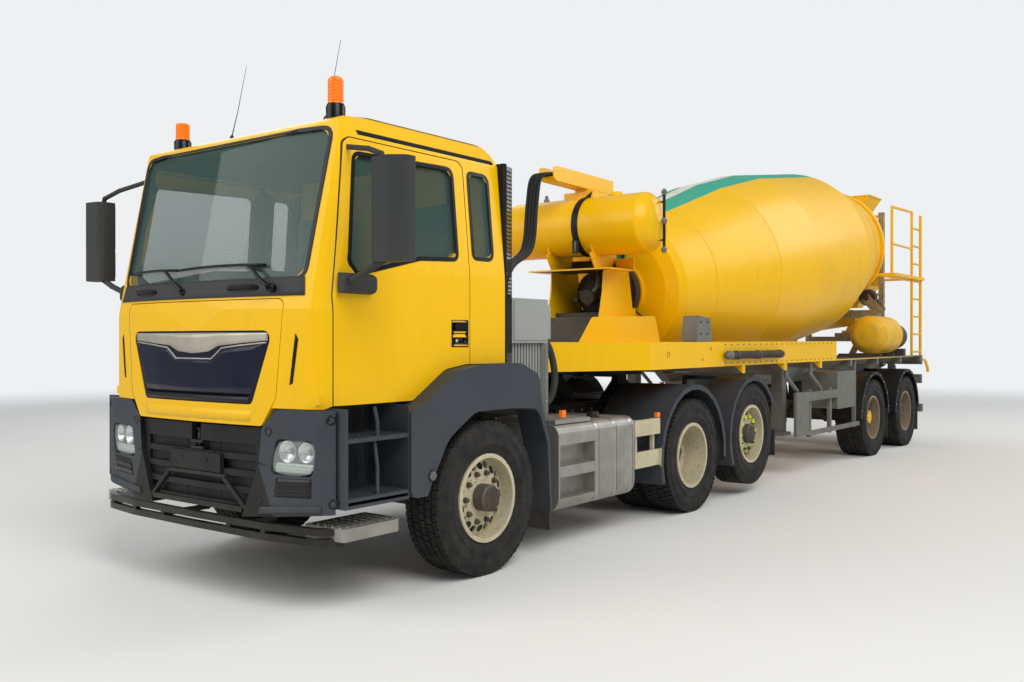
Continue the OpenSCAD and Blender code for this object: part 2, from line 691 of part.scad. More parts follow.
// A mudguard over a wheel: thick side edge and thinner top, from angle a0 to a1
module mudguard(x, z, r, a0, a1, y_in, y_out) {
    n = 14;
    skin = 10;
    ring = concat(arc([x, z], r, a0, a1, n), arc([x, z], r - skin, a1, a0, n));
    lip = concat(arc([x, z], r, a0, a1, n), arc([x, z], r - 45, a1, a0, n));
    translate([0, y_out, 0]) rotate([90, 0, 0]) linear_extrude(y_out - y_in) polygon(ring);
    translate([0, y_out, 0]) rotate([90, 0, 0]) linear_extrude(skin) polygon(lip);
}

module rear_mudguards() {
    guards = [[drive_x, hub_z, tyre_r + 135, -18, 186, 560], [tag_x, hub_z + tag_lift, tyre_r + 75, -28, 150, 880]];
    color("#34383d") from_axle() both() for (g = guards) {
        top = g[1] + g[2] - 8;
        mudguard(g[0], g[1], g[2], g[3], g[4], g[5], 1245);
        box(g[0] - 30, g[0] + 30, rail_y + gap, 1100, top - 40, top);
        box(g[0] - 30, g[0] + 30, rail_y + gap, rail_y + 30, rail_top - 90, top);
    }
    color("#d9d0b4") from_axle() both() {
        for (z = [505, 775]) box(-2390, -1960, 1195, 1225, z, z + 135);
        for (x = [-2340, -2040]) box(x, x + 30, 1165, 1195, 505, 910);
        box(-2045, -2005, rail_y + gap, 1166, 850, 900);
    }
}

// A solid axle or beam with what carries it, and the stub axles of the rear wheels
module axles() {
    color("#2a2b2d") from_axle() {
        face([[-king_y + 50, hub_z - 45, 0], [-700, hub_z - 45, 60], [-560, hub_z - 110, 60], [560, hub_z - 110, 60],
            [700, hub_z - 45, 60], [king_y - 50, hub_z - 45, 0], [king_y - 50, hub_z + 45, 0], [690, hub_z + 45, 60],
            [540, hub_z - 25, 60], [-540, hub_z - 25, 60], [-690, hub_z + 45, 60], [50 - king_y, hub_z + 45, 0]], -45, 45);
        both() {
            difference() {
                translate([0, king_y, hub_z - 60]) cylinder(h = 120, r = 54);
                translate([0, king_y, hub_z - 61]) cylinder(h = 122, r = 22 + gap);
            }
            side([[-830, spring_z - 45, 10], [0, hub_z - 25, 500], [830, spring_z - 45, 10], [830, spring_z - 12, 10],
                [0, hub_z + 62, 500], [-830, spring_z - 12, 10]], rail_y - 70, rail_y - 5, 6);
            for (x = [-790, 790]) box(x - 22, x + 22, rail_y - 62, rail_y - 8, spring_z - 20, spring_z - gap);
            box(-45, 45, rail_y - 80, rail_y + 5, hub_z - 30, hub_z + 10);
            rear_axle(drive_x, hub_z, twin_y - 155, 210, 75);
            rear_axle(tag_x, hub_z + tag_lift, single_y - 65, 120, 60);
        }
        translate([drive_x, 0, hub_z]) rotate([0, 90, 0]) cylinder(h = 260, r = 205, center = true);
        rod([drive_x + 120, 0, hub_z + 10], [drive_x + 320, 0, hub_z + 40], 80);
        rod([drive_x + 300, 0, hub_z + 37], [-1412, 0, 720], 45);
    }
}

// Half of a rear axle: tube, stub, carrying arm and its two air bellows
module rear_axle(x, z, y, stub, r) {
    rod([x, 0, z], [x, y, z], r, 40);
    rod([x, y - 1, z], [x, y + stub, z], spindle_r, 40);
    side([[x - 470, z - 60, 20], [x + 470, z - 60, 20], [x + 470, z - 10, 20], [x + 110, z + 50, 30],
        [x - 110, z + 50, 30], [x - 470, z - 10, 20]], 330, 430);
    for (m = [-360, 360]) translate([x + m, 380, z - 11]) cylinder(h = rail_low - gap - z + 11, r = 118, $fn = 40);
}

// A steering knuckle, its kingpin, stub axle and steering arm
module knuckle(s) {
    color("#3b3c3e") from_axle() mirror([0, s > 0 ? 0 : 1, 0]) translate([0, king_y, hub_z]) {
        translate([0, 0, -118]) cylinder(h = 236, r = 22);
        for (z = [60 + gap, -118]) difference() {
            union() {
                translate([0, 0, z]) cylinder(h = 58 - gap, r = 50);
                box(-48, 48, 0, 74, z, z + 58 - gap);
            }
        }
        box(-70, 70, 57, 76, -118, 118);
        rod([0, 75, 0], [0, single_y - king_y + 60, 0], spindle_r, 40);
        side([[-240, -105, 15], [-40, -118, 0], [-40, -82, 0], [-240, -74, 15]], -45, 5);
    }
}

// Mirrors on two arms, each from a foot on the door
module mirror_head(s) {
    color("#202225") from_axle() mirror([0, s > 0 ? 0 : 1, 0]) {
        plan([[1165, 1400, 25], [1300, 1395, 60], [1320, 1560, 70], [1250, 1650, 40], [1165, 1650, 25]], 2030, 2610, 4);
        difference() {
            pipe([[1118, 1020, 2748], [1200, 1300, 2690], [1235, 1440, 2640], [1235, 1460, 2600]], 16);
            cab_form(-gap);
        }
        pipe([[1225, cab_half_w + 30, 1920], [1240, 1330, 1985], [1240, 1460, 2040]], 20);
        face([[cab_half_w + gap, 1860, 10], [cab_half_w + 60, 1880, 30], [cab_half_w + 60, 1965, 30],
            [cab_half_w + gap, 1990, 10]], 1010, 1270);
    }
}

// The trailer's frame: gooseneck tray, side rails, main beams, cross members, kingpin and legs
module trailer_frame() {
    neck_end = -500;
    w = trailer_half_w;
    color("gold") from_kingpin() {
        difference() {
            plan([[1850, -790, 40], [1850, 790, 40], [880, w, 120], [neck_end, w, 0], [neck_end, -w, 0],
                [880, -w, 120]], side_z - side_rail_h, side_z);
            plan([[1838, -774, 40], [1838, 774, 40], [874, w - 14, 120], [neck_end + 12, w - 14, 0],
                [neck_end + 12, 14 - w, 0], [874, 14 - w, 120]], 1300, side_z - 12);
        }
        for (x = [1500, 1000, 500, 0]) box(x - 8, x + 8, -1100 + max(0, x - 880) * 0.44, 1100 - max(0, x - 880) * 0.44,
            side_z - side_rail_h, side_z - 11);
        both() for (z = [side_z - side_rail_h, side_z - 14])
            box(-board_back, neck_end, w - 100, w, z, z + 14);
        both() box(-board_back, neck_end, w - 12, w, side_z - side_rail_h, side_z);
    }
    color("#8e8f88") from_kingpin() {
        plan([[1700, -560, 100], [1700, 560, 100], [-620, 560, 60], [-620, -560, 60]], coupling_z + gap,
            side_z - side_rail_h);
        translate([0, 0, coupling_z - 84]) cylinder(h = 90, r = kingpin_r);
        both() {
            box(-frame_back, -board_back, w - 100, w, side_z - side_rail_h, side_z - side_rail_h + 14);
            side([[-600, 1251, 0], [-2480, 1251, 60], [-2800, 1050, 60], [-7000, 1050, 60], [-frame_back, 1180, 0],
                [-frame_back, 1331, 0], [-600, 1331, 0]], 594, 606);
            side([[-600, 1251, 0], [-2480, 1251, 60], [-2800, 1050, 60], [-7000, 1050, 60],
                [-frame_back, 1180, 0], [-frame_back, 1194, 0], [-7000, 1064, 60], [-2805, 1064, 60], [-2485, 1265, 60],
                [-600, 1265, 0]], 540, 660);
            box(-frame_back, -600, 540, 660, 1317, 1331);
            box(-2650, -2580, 600, 901, 1180, 1310);
            box(-2680, -2550, 900, 1030, 520, 1320);
            box(-2720, -2510, 860, 1070, 480, 520);
        }
        for (i = [0:6]) face([[-w + 2, 1251, 0], [w - 2, 1251, 0], [w - 2, 1331.1, 0], [520, 1331.1, 0], [420, 1300, 0],
            [-420, 1300, 0], [-520, 1331.1, 0], [-w + 2, 1331.1, 0]], -1100 - i * 1120, -1030 - i * 1120);
        box(-frame_back, -frame_back + 70, 2 - w, w - 2, 1200, 1331.1);
    }
}

// Pedestal that carries the gearbox, its motor and the front of the drum
module drum_pedestal() {
    color("gold") from_kingpin() {
        both() side([[980, side_z + gap, 0], [760, 1800, 60], [-420, 1830, 60], [-520, side_z + gap, 0]], 540, 552);
        side([[980, side_z + gap, 0], [760, 1800, 60], [-420, 1830, 60], [-520, side_z + gap, 0],
            [-508, side_z + gap, 0], [-412, 1818, 60], [752, 1788, 60], [966, side_z + gap, 0]], -541, 541);
        both() {
            side([[260, 1790, 0], [190, 2060, 60], [170, 2290, 30], [-300, 2290, 30], [-380, 1900, 60], [-400, 1815, 0]],
                300, 314);
            difference() {
                side([[240, 2279, 0], [330, 2410, 20], [330, 2440, 0], [-130, 2440, 0], [-130, 2410, 20], [-40, 2279, 0]],
                    250, 262);
                disc_y(tank_x, water_z, water_r + gap, 200, 300, 72);
            }
        }
        box(-130, 330, -480, 480, 2270, 2284);
        box(-130, -118, -480, 480, 2284, 2400);
        for (x = [-300, -160, 100]) box(x, x + 14, -301, 301, 1812, 1862);
    }
    color("#3a3936") at_drum() {
        translate([0, 0, -100 - gap - 90]) cylinder(h = 90, r = 310);
        translate([0, 0, -420]) cylinder(h = 240, r = 205);
        translate([0, 0, -450]) cylinder(h = 40, r = 235);
        translate([0, 0, -520]) cylinder(h = 80, r = 150);
        translate([0, 60, -740]) cylinder(h = 230, r = 75);
        translate([-60, -100, -640]) cube([120, 220, 130]);
        translate([-262, -301, -330]) cube([90, 602, 110]);
    }
}

// Places local +Z along the drum's axis, from the front of the drum backwards, local +X up
module at_drum() {
    from_kingpin() translate([drum_x, 0, drum_z]) rotate([0, drum_tilt - 90, 0]) children();
}

// Drum: dished head, front cone, cylinder, rear cone and mouth, with its track ring
module drum() {
    outer = [[330, -100], [330, -60], [560, -30], [690, 20], [742, 110], [1070, 1820], [drum_r, 2870], [drum_r, 4710],
        [drum_r - 343, 6420], [600, 7000]];
    inner = [for (i = [len(outer) - 1:-1:2]) outer[i] - [drum_wall, i < 5 ? -drum_wall : 0]];
    color("gold") at_drum() {
        rotate_extrude($fn = 120) polygon(concat([[0, -100]], outer, inner, [[0, -30]]));
        rotate_extrude($fn = 120) polygon([[ring_r - 42, 6370], [ring_r, 6370], [ring_r, 6470], [ring_r - 62, 6470]]);
        rotate_extrude($fn = 120) polygon([[600, 6986], [630, 6986], [630, 7010], [588, 7010]]);
    }
}

module water_tank() {
    end = water_half;
    color("gold") from_kingpin() {
        translate([tank_x, 0, water_z]) rotate([90, 0, 0]) rotate_extrude($fn = 72)
            polygon(outline([[0, -end, 0], [water_r * 0.72, -end + 22, 140], [water_r, -end + 130, 60],
                [water_r, end - 130, 60], [water_r * 0.72, end - 22, 140], [0, end, 0]], 5));
        both() difference() {
            side([[-90, 2440 + gap, 0], [290, 2440 + gap, 0], [330, 2560, 0], [-130, 2560, 0]], 246, 266);
            disc_y(tank_x, water_z, water_r - 1, 0, 300, 72);
        }
        box(-150, 150, -170, 170, water_z + water_r - 6, arm_z - 20 - gap);
    }
    color("#3c3d3b") from_kingpin() difference() {
        disc_y(tank_x, water_z, water_r + 6, 75, 145, 72);
        disc_y(tank_x, water_z, water_r - 1, 74, 146, 72);
    }
    color("#3c3d3b") from_kingpin() {
        for (z = [water_z + 180, water_z - 180]) rod([tank_x + 20, end - 60, z], [tank_x + 20, end + 45, z], 10);
        rod([tank_x + 20, end + 45, water_z - 280], [tank_x + 20, end + 45, water_z + 300], 14);
    }
}

// Arm that holds the supply hoses over the coupling; it turns about the kingpin's axis
module hose_arm() {
    color("gold") from_kingpin() {
        translate([0, 0, arm_z - 20]) cylinder(h = 40, r = 120);
        difference() {
            side([[-380, arm_z + 4, 0], [640, arm_z + 25, 0], [700, arm_z + 50, 0], [700, arm_z + 150, 0],
                [640, arm_z + 165, 0], [-380, arm_z + 150, 0]], -85, 85);
            side([[-390, channel_z(-390), 0], [710, channel_z(710), 0], [710, arm_z + 200, 0], [-390, arm_z + 200, 0]],
                -75, 75);
        }
    }
}

// Height of the floor of the arm's channel
function channel_z(x) = arm_z + 20 + 0.04 * (x + 390);

// A smooth path through points, n steps between each two
function smooth(p, n) = concat([for (i = [0:len(p) - 2], j = [0:n - 1])
    let (a = p[max(i - 1, 0)], b = p[i], c = p[i + 1], d = p[min(i + 2, len(p) - 1)], t = j / n)
    b + t * (c - a) / 2 + t * t * (a - 2.5 * b + 2 * c - d / 2) + t * t * t * (3 * b - 3 * c + d - a) / 2],
    [p[len(p) - 1]]);

// A round tube swept along a path that nowhere runs along Y
module swept_tube(path, r, sides = 8) {
    last = len(path) - 1;
    points = [for (i = [0:last])
        let (t = unit(path[min(i + 1, last)] - path[max(i - 1, 0)]), u = unit(cross(t, [0, 1, 0])), v = cross(t, u))
        for (k = [0:sides - 1]) path[i] + r * (cos(360 * k / sides) * u + sin(360 * k / sides) * v)];
    walls = [for (i = [0:last - 1], k = [0:sides - 1])
        let (k2 = (k + 1) % sides) [i * sides + k, i * sides + k2, (i + 1) * sides + k2, (i + 1) * sides + k]];
    polyhedron(points, concat([[for (k = [sides - 1:-1:0]) k]], [[for (k = [0:sides - 1]) last * sides + k]], walls));
}

// Four hydraulic hoses from the cabinet up to the arm, held by its channel
module supply_hoses() {
    color("#1c1d1f") from_kingpin() for (i = [0:3]) {
        y = -54 + 36 * i;
        over = hose_r + gap + 0.1;
        hose = [[-260, y, channel_z(-260) + over], [60, y, channel_z(60) + over], [500, y, channel_z(500) + over],
            [725, y, channel_z(725) + over], [890, y + 10, arm_z + 10], [990, y + 40, arm_z - 260],
            [1180, y + 130, arm_z - 660], [1700, y + 330, 2230], [2180, 440 + 80 * i, 2090],
            [2340, 480 + 100 * i, 2010], [2340, 480 + 100 * i, 1955], [2340, 480 + 100 * i, 1900 + gap]];
        swept_tube(smooth(hose, 3), hose_r);
    }
}

module trailer_axles() {
    color("#3a3a38") from_kingpin() for (i = [0, 1]) both() {
        x = -trailer_base - i * trailer_pitch;
        rod([x, 0, hub_z], [x, wide_y - 85, hub_z], 70, 40);
        rod([x, wide_y - 86, hub_z], [x, wide_y + 35, hub_z], spindle_r, 40);
        side([[x + 560, 760, 20], [x + 560, 700, 20], [x + 90, hub_z - 85, 20], [x - 420, hub_z - 10, 20],
            [x - 420, hub_z + 30, 20], [x - 90, hub_z + 85, 20], [x + 90, hub_z + 85, 20]], 560, 640);
        side([[x + 640, 1050 - gap, 0], [x + 460, 1050 - gap, 0], [x + 500, 680, 40], [x + 600, 680, 40]], 640, 652);
        side([[x + 640, 1050 - gap, 0], [x + 460, 1050 - gap, 0], [x + 500, 680, 40], [x + 600, 680, 40]], 548, 560);
        translate([x - 330, 600, hub_z + 10]) cylinder(h = 1050 - gap - hub_z - 10, r = 125, $fn = 40);
        translate([x, wide_y - 118, hub_z]) rotate([90, 0, 0]) cylinder(h = 20, r = 190);
    }
}

module trailer_mudguards() {
    color("#34383d") from_kingpin() both() for (i = [0, 1]) {
        x = -trailer_base - i * trailer_pitch;
        mudguard(x, hub_z, tyre_r + 110, 2, 178, 845, 1245);
        box(x - 30, x + 30, 606 + gap, 1100, hub_z + tyre_r + 60, hub_z + tyre_r + 102);
    }
}

// Side guards, tool box and rear underrun beam
module trailer_guards() {
    tool_back = 810 - trailer_base;
    color("#9a9b93") from_kingpin() both() {
        box(-2900, -2500, 1190, 1222, 480, 980);
        box(1470 - trailer_base, -2900, 1190, 1220, 870, 970);
        box(620 - trailer_base, -2900, 1190, 1220, 460, 515);
        for (x = [-3000, 1670 - trailer_base]) box(x - 60, x, 1150, 1190, 440, 1000);
        for (x = [-2340, -3110]) pipe([[x, 1160, side_z - side_rail_h - gap], [x, 1160, 1180], [x - 300, 1170, 1000],
            [x - 300, 1170, 930]], 24, 20);
        side([[tool_back, 720, 30], [tool_back, 1190, 30], [tool_back + 660, 1190, 30], [tool_back + 660, 720, 30]],
            760, 1215);
        box(tool_back + 105, tool_back + 165, 760, 1000, 1185, 1251 - gap);
        box(tool_back - 140, tool_back - 80, 1150, 1190, 440, side_low - gap);
        box(-frame_back + 5, -frame_back + 65, 700, 800, 470, 1200 - gap);
        box(-frame_back - 10, -frame_back + 10, 690, 810, 470, 1180 - gap);
    }
    color("#9a9b93") from_kingpin() {
        box(-frame_back - 110, -frame_back - 10, -1200, 1200, 450, 570);
        both() box(-frame_back - 90, -frame_back - 11, 850, 1190, 900, 1040);
        both() box(-frame_back - 40, -frame_back - 10, 690, 860, 940, 1000);
    }
}

// Rear support of the drum: portal, diagonals and the two rollers under the track ring
module drum_cradle() {
    span = ring_r + roller_r + gap;
    foot_z = beam_top + gap;
    color("#c9b98a") from_kingpin() {
        both() {
            box(-7190, -7070, 560, 680, foot_z, 2000);
            side([[-7070, 1900, 0], [-6150, foot_z, 0], [-6290, foot_z, 0], [-7070, 1800, 0]], 590, 650);
            box(-frame_back, -frame_back + 80, 560, 640, foot_z, 3640);
            box(-frame_back + 80, -7190, 575, 625, 1500, 1560);
        }
        box(-7260, -7040, -760, 760, 1930, 2050);
        box(-frame_back + 10, -frame_back + 70, -560, 560, 1560, 1640);
        box(chute_x - 150, -frame_back + 70, -150, 150, 1640, 1700);
    }
    color("#7b746a") at_drum() for (m = [-1, 1]) rotate(m * roller_angle) {
        translate([-span, 0, ring_at - 60]) cylinder(h = 120, r = roller_r, $fn = 64);
        translate([-span, 0, ring_at - 110]) cylinder(h = 220, r = 35, $fn = 32);
        for (z = [-100, 80]) translate([-span - 300, -70, ring_at + z]) cube([345, 140, 20]);
    }
}

// Filling hopper over the drum's mouth and the collector under it
module hopper() {
    color("#d9a800") from_kingpin() {
        difference() {
            union() {
                hopper_form(0);
                both() box(-frame_back + 10, -frame_back + 70, 200, 560 - gap, 3560, 3600);
            }
            hopper_form(8);
        }
    }
    color("#8f7d3a") from_kingpin() {
        difference() {
            union() {
                collector_form(0);
                both() box(-frame_back + 10, -frame_back + 70, 200, 560 - gap, 2300, 2340);
            }
            collector_form(8);
        }
        box(-8250, -8242, -450, 450, 2469, 2900);
    }
}

// Four sided funnel with its spout into the mouth, inset by t
module hopper_form(t) {
    out = t > 0 ? 2 : 0;
    hull() {
        box(-8180 + t, -7560 - t, t - 490, 490 - t, 3900, 3901 + out);
        box(-7960 + t, -7600 - t, t - 230, 230 - t, 3420, 3421);
    }
    hull() {
        box(-7960 + t, -7600 - t, t - 230, 230 - t, 3420, 3421);
        translate([-7430, 0, 3225]) rotate([0, 60, 0]) box(t - 100, 100 - t, t - 200, 200 - t, 0, 1 + out);
    }
}

// Funnel under the mouth that leads down to the chute, inset by t
module collector_form(t) {
    out = t > 0 ? 2 : 0;
    hull() {
        box(-8250 + t, -7600 - t, t - 450, 450 - t, 2469, 2470 + out);
        box(chute_x - 140 + t, chute_x + 140 - t, t - 150, 150 - t, 2120 - out, 2121);
    }
}

// Ladder on the left with its platform and railing
module ladder() {
    front = ladder_x[0];
    back = ladder_x[1];
    y = ladder_y;
    color("gold") from_kingpin() {
        for (i = [0:7]) rod([front, y, 1400 + 275 * i], [back, y, 1400 + 275 * i], 14, 16);
        pipe([[front, y, side_low + 14 + gap], [front, y, 3570], [-6450, y, 3540], [-6450, y, 2560]], 20, 20);
        rod([-6455, y, 3000], [front + 5, y, 3000], 16, 16);
        pipe([[back, y, 3564], [back, y, 1290], [-8300, y, 1250], [-tail_back + 22, y, 1120]], 22, 20);
        rod([-tail_back + 22, y, 1060], [-tail_back + 22, y, 1142], 22, 20);
        difference() {
            box(-8060, -6430, 950, 1200, 2530, 2570);
            for (i = [0:9]) box(-8040 + i * 160, -7910 + i * 160, 970, 1110, 2520, 2580);
        }
        rod([-7820, 640 + gap, 2550], [-7820, 960, 2550], 20, 16);
    }
}

// Compressed air and washing water tanks beside the frame
module rear_tank() {
    color("gold") from_kingpin() translate([-5900, 940, 1660]) rotate([0, -90, 0]) rotate_extrude($fn = 64)
        polygon(outline([[0, 0, 0], [190, 25, 110], [275, 150, 60], [275, 900, 60], [190, 1020, 110], [0, 1045, 0]], 4));
    color("#77746c") from_kingpin() {
        rod([-7330, 940, 1640], [-6990, 940, 1640], 190, 48);
        for (x = [-6100, -6700]) box(x, x + 60, 500, 1115, beam_top + gap, 1386);
        box(-7300, -7191, 700, 1115, beam_top + gap, 1452);
        box(-7300, -7200, 500, 701, beam_top + gap, beam_top + 20);
    }
}

// Bracket that swings the chute about a vertical axis, with the pin that the chute tilts on
module chute_swivel() {
    color("gold") from_kingpin() translate([chute_x, 0, 0]) {
        translate([0, 0, 1700 + gap]) cylinder(h = 40, r = 140);
        for (x = [-72, 52]) translate([x, 0, 0]) face([[-60, 1740, 0], [60, 1740, 0], [22, chute_pin_z + 18, 12],
            [-22, chute_pin_z + 18, 12]], 0, 20);
        rod([-72, 0, chute_pin_z], [72, 0, chute_pin_z], 14);
    }
}

// Open trough that leads concrete out, with a lug under it for the swivel's pin
module chute() {
    axis_h = chute_r + 26;
    color("gold") from_kingpin() translate([chute_x, 0, chute_pin_z]) rotate([90 + chute_slope, 0, 0]) {
        difference() {
            translate([0, axis_h, -160]) cylinder(h = 1150, r = chute_r, $fn = 64);
            translate([0, axis_h, -161]) cylinder(h = 1152, r = chute_r - 8, $fn = 64);
            translate([-300, axis_h, -200]) cube([600, 400, 1300]);
        }
        difference() {
            translate([-48, -24, -24]) cube([96, 56, 48]);
            rotate([0, 90, 0]) cylinder(h = 100, r = 14 + gap, center = true);
        }
    }
}

tractor_frame();
engine();
axles();
fifth_wheel();
cab_shell();
cab_glass();
cab_interior();
bumper();
lamps();
underrun_bar();
cab_fenders();
air_intake();
side_tanks();
hydraulic_cabinet();
rear_mudguards();
front_flap();
grille();
door(1);  // door_l
door_glass(1);  // door_glass_l
mirror_head(1);  // mirror_l
door(-1);  // door_r
door_glass(-1);  // door_glass_r
mirror_head(-1);  // mirror_r
knuckle(1);  // knuckle_l
front_tyre(1);  // front_tyre_l
front_rim(1);  // front_rim_l
drive_tyres(1);  // drive_tyres_l
drive_rims(1);  // drive_rims_l
tag_tyre(1);  // tag_tyre_l
tag_rim(1);  // tag_rim_l
knuckle(-1);  // knuckle_r
front_tyre(-1);  // front_tyre_r
front_rim(-1);  // front_rim_r
drive_tyres(-1);  // drive_tyres_r
drive_rims(-1);  // drive_rims_r
tag_tyre(-1);  // tag_tyre_r
tag_rim(-1);  // tag_rim_r
trailer_frame();
trailer_axles();
trailer_mudguards();
trailer_guards();
drum_pedestal();
drum_cradle();
water_tank();
hopper();
ladder();
rear_tank();
hose_arm();
supply_hoses();
drum();
chute_swivel();
chute();
trailer_tyre(0, 1);  // trailer_tyre_1l
trailer_rim(0, 1);  // trailer_rim_1l
trailer_tyre(0, -1);  // trailer_tyre_1r
trailer_rim(0, -1);  // trailer_rim_1r
trailer_tyre(1, 1);  // trailer_tyre_2l
trailer_rim(1, 1);  // trailer_rim_2l
trailer_tyre(1, -1);  // trailer_tyre_2r
trailer_rim(1, -1);  // trailer_rim_2r
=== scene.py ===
"""Looks of an articulated concrete mixer truck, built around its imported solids."""
import json
from functools import partial
from math import cos, hypot, pi, radians, sin, sqrt, tan

import bmesh
import bpy
from bpy.props import BoolProperty, FloatProperty, FloatVectorProperty, IntProperty, PointerProperty
from mathutils import Matrix, Vector
from mathutils.bvhtree import BVHTree


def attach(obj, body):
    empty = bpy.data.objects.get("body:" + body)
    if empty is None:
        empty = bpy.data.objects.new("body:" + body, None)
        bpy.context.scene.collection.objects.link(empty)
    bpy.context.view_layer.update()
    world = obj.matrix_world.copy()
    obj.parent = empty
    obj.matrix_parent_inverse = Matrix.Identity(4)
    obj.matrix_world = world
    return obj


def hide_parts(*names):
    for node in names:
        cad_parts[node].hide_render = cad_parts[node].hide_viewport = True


bl_info = {
    "name": "Concrete Mixer Truck Looks",
    "version": (1, 0, 0),
    "blender": (4, 5, 0),
    "location": "3D View > Sidebar > Mixer Truck",
    "description": "Dresses the solids of an articulated concrete mixer truck",
    "category": "Object",
}

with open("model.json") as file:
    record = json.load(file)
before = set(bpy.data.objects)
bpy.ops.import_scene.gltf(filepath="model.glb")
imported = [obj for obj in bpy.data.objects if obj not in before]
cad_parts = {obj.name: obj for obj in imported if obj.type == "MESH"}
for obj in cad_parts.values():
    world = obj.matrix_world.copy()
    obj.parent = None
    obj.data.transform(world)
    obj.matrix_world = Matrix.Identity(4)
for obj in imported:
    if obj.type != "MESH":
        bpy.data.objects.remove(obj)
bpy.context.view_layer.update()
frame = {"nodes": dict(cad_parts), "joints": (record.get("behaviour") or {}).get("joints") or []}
JOINT = {j["name"]: j for j in frame["joints"]}
AXLE_X = JOINT["steer_l"]["pos_m"][0]
PIN_X = JOINT["articulation"]["pos_m"][0]
DRUM_FOOT = Vector(JOINT["drum_spin"]["pos_m"])
DRUM_AXIS = Vector(JOINT["drum_spin"]["axis"]).normalized()
if DRUM_AXIS.x > 0:
    DRUM_AXIS = -DRUM_AXIS
UP = Vector((0, 0, 1))

# Sizes in metres. X is counted from the front axle on the tractor and from the kingpin on the trailer.
CAB_FACE = AXLE_X + 1.475       # the cab's foremost face
DRIVE_X, TAG_X = -3.030, -4.370
TRAILER_X, TRAILER_STEP = -5.370, -1.560
WHEEL_Y, TWIN_Y, TWIN_SHIFT, TRAILER_Y = 1.079, 0.9065, 0.1725, 1.0425
TYRE_R, BEAD_R, LIFTED_Z = 0.522, 0.286, 0.617
TYRE_WIDE, TRAILER_WIDE = 0.312, 0.385
NUT_CIRCLE = 0.1675
HAND_HOLES = 10
GUARD_FACE = 1.2445             # outer face of the mudguards
RAIL_FACE = 1.22                # outer face of the trailer's side rails
BELLY_START, BELLY_END = 2.87, 4.71     # the drum's cylinder, back along its axis
HOSE_END_Z = 1.9003             # the supply hoses' ends in the cabinet's top
THIN = 0.001                    # radius that closes a turned shape's end


# ---------------------------------------------------------------- sizes and colours

def linear(hex_colour):
    """An sRGB hex value as linear red, green and blue."""
    out = []
    for i in (1, 3, 5):
        c = int(hex_colour[i:i + 2], 16) / 255
        out.append(c / 12.92 if c <= 0.04045 else ((c + 0.055) / 1.055) ** 2.4)
    return tuple(out) + (1.0,)


class PaintSizes(bpy.types.PropertyGroup):
    """Colours of the truck's main finishes."""
    body: FloatVectorProperty(name="Body paint", description="Yellow of cab, trailer and drum",
                              subtype="COLOR", size=3, min=0, max=1, default=linear("#fdc400")[:3])
    stripe: FloatVectorProperty(name="Stripe", description="Green of the stripes along the drum",
                                subtype="COLOR", size=3, min=0, max=1, default=linear("#2fae8e")[:3])
    dust: FloatProperty(name="Dust", description="How far dust covers the lower pieces",
                        subtype="FACTOR", min=0, max=1, default=0.30)


class WheelSizes(bpy.types.PropertyGroup):
    """Sizes of tyres and wheels."""
    tread_depth: FloatProperty(name="Tread depth", description="Depth of the tread's grooves",
                               subtype="DISTANCE", min=0.006, max=0.02, default=0.013)
    tread_rows: IntProperty(name="Tread rows", description="Blocks round one tyre",
                            min=30, max=90, default=64)
    nut_count: IntProperty(name="Wheel nuts", description="Nuts on one wheel",
                           min=8, max=12, default=10)


class CabSizes(bpy.types.PropertyGroup):
    """Sizes of what is mounted on the cab."""
    antenna: FloatProperty(name="Antenna length", description="Length of each whip antenna",
                           subtype="DISTANCE", min=0.3, max=0.8, default=0.55)
    seal: FloatProperty(name="Seal width", description="Width of the rubber round the glass",
                        subtype="DISTANCE", min=0.01, max=0.04, default=0.031)
    studs: BoolProperty(name="Step studs", description="Raise studs on the treads", default=True)


class HoseSizes(bpy.types.PropertyGroup):
    """Sizes of the hydraulic hoses."""
    sleeve: FloatProperty(name="Hose diameter", description="Outer diameter of a sleeved supply hose",
                          subtype="DISTANCE", min=0.025, max=0.034, default=0.034)


# ---------------------------------------------------------------- meshes

def at_axle(x, y, z):
    """A point given from the front axle's centre line on the ground."""
    return Vector((AXLE_X + x, y, z))


def at_pin(x, y, z):
    """A point given from the kingpin's foot on the ground."""
    return Vector((PIN_X + x, y, z))


def drum_up():
    """The way that is square to the drum's axis and up."""
    return Vector((0, 1, 0)).cross(DRUM_AXIS).normalized()


def at_drum(s, r, a):
    """A point on the drum: distance back along its axis, radius, angle from straight up."""
    return DRUM_FOOT + DRUM_AXIS * s + (drum_up() * cos(a) + Vector((0, sin(a), 0))) * r


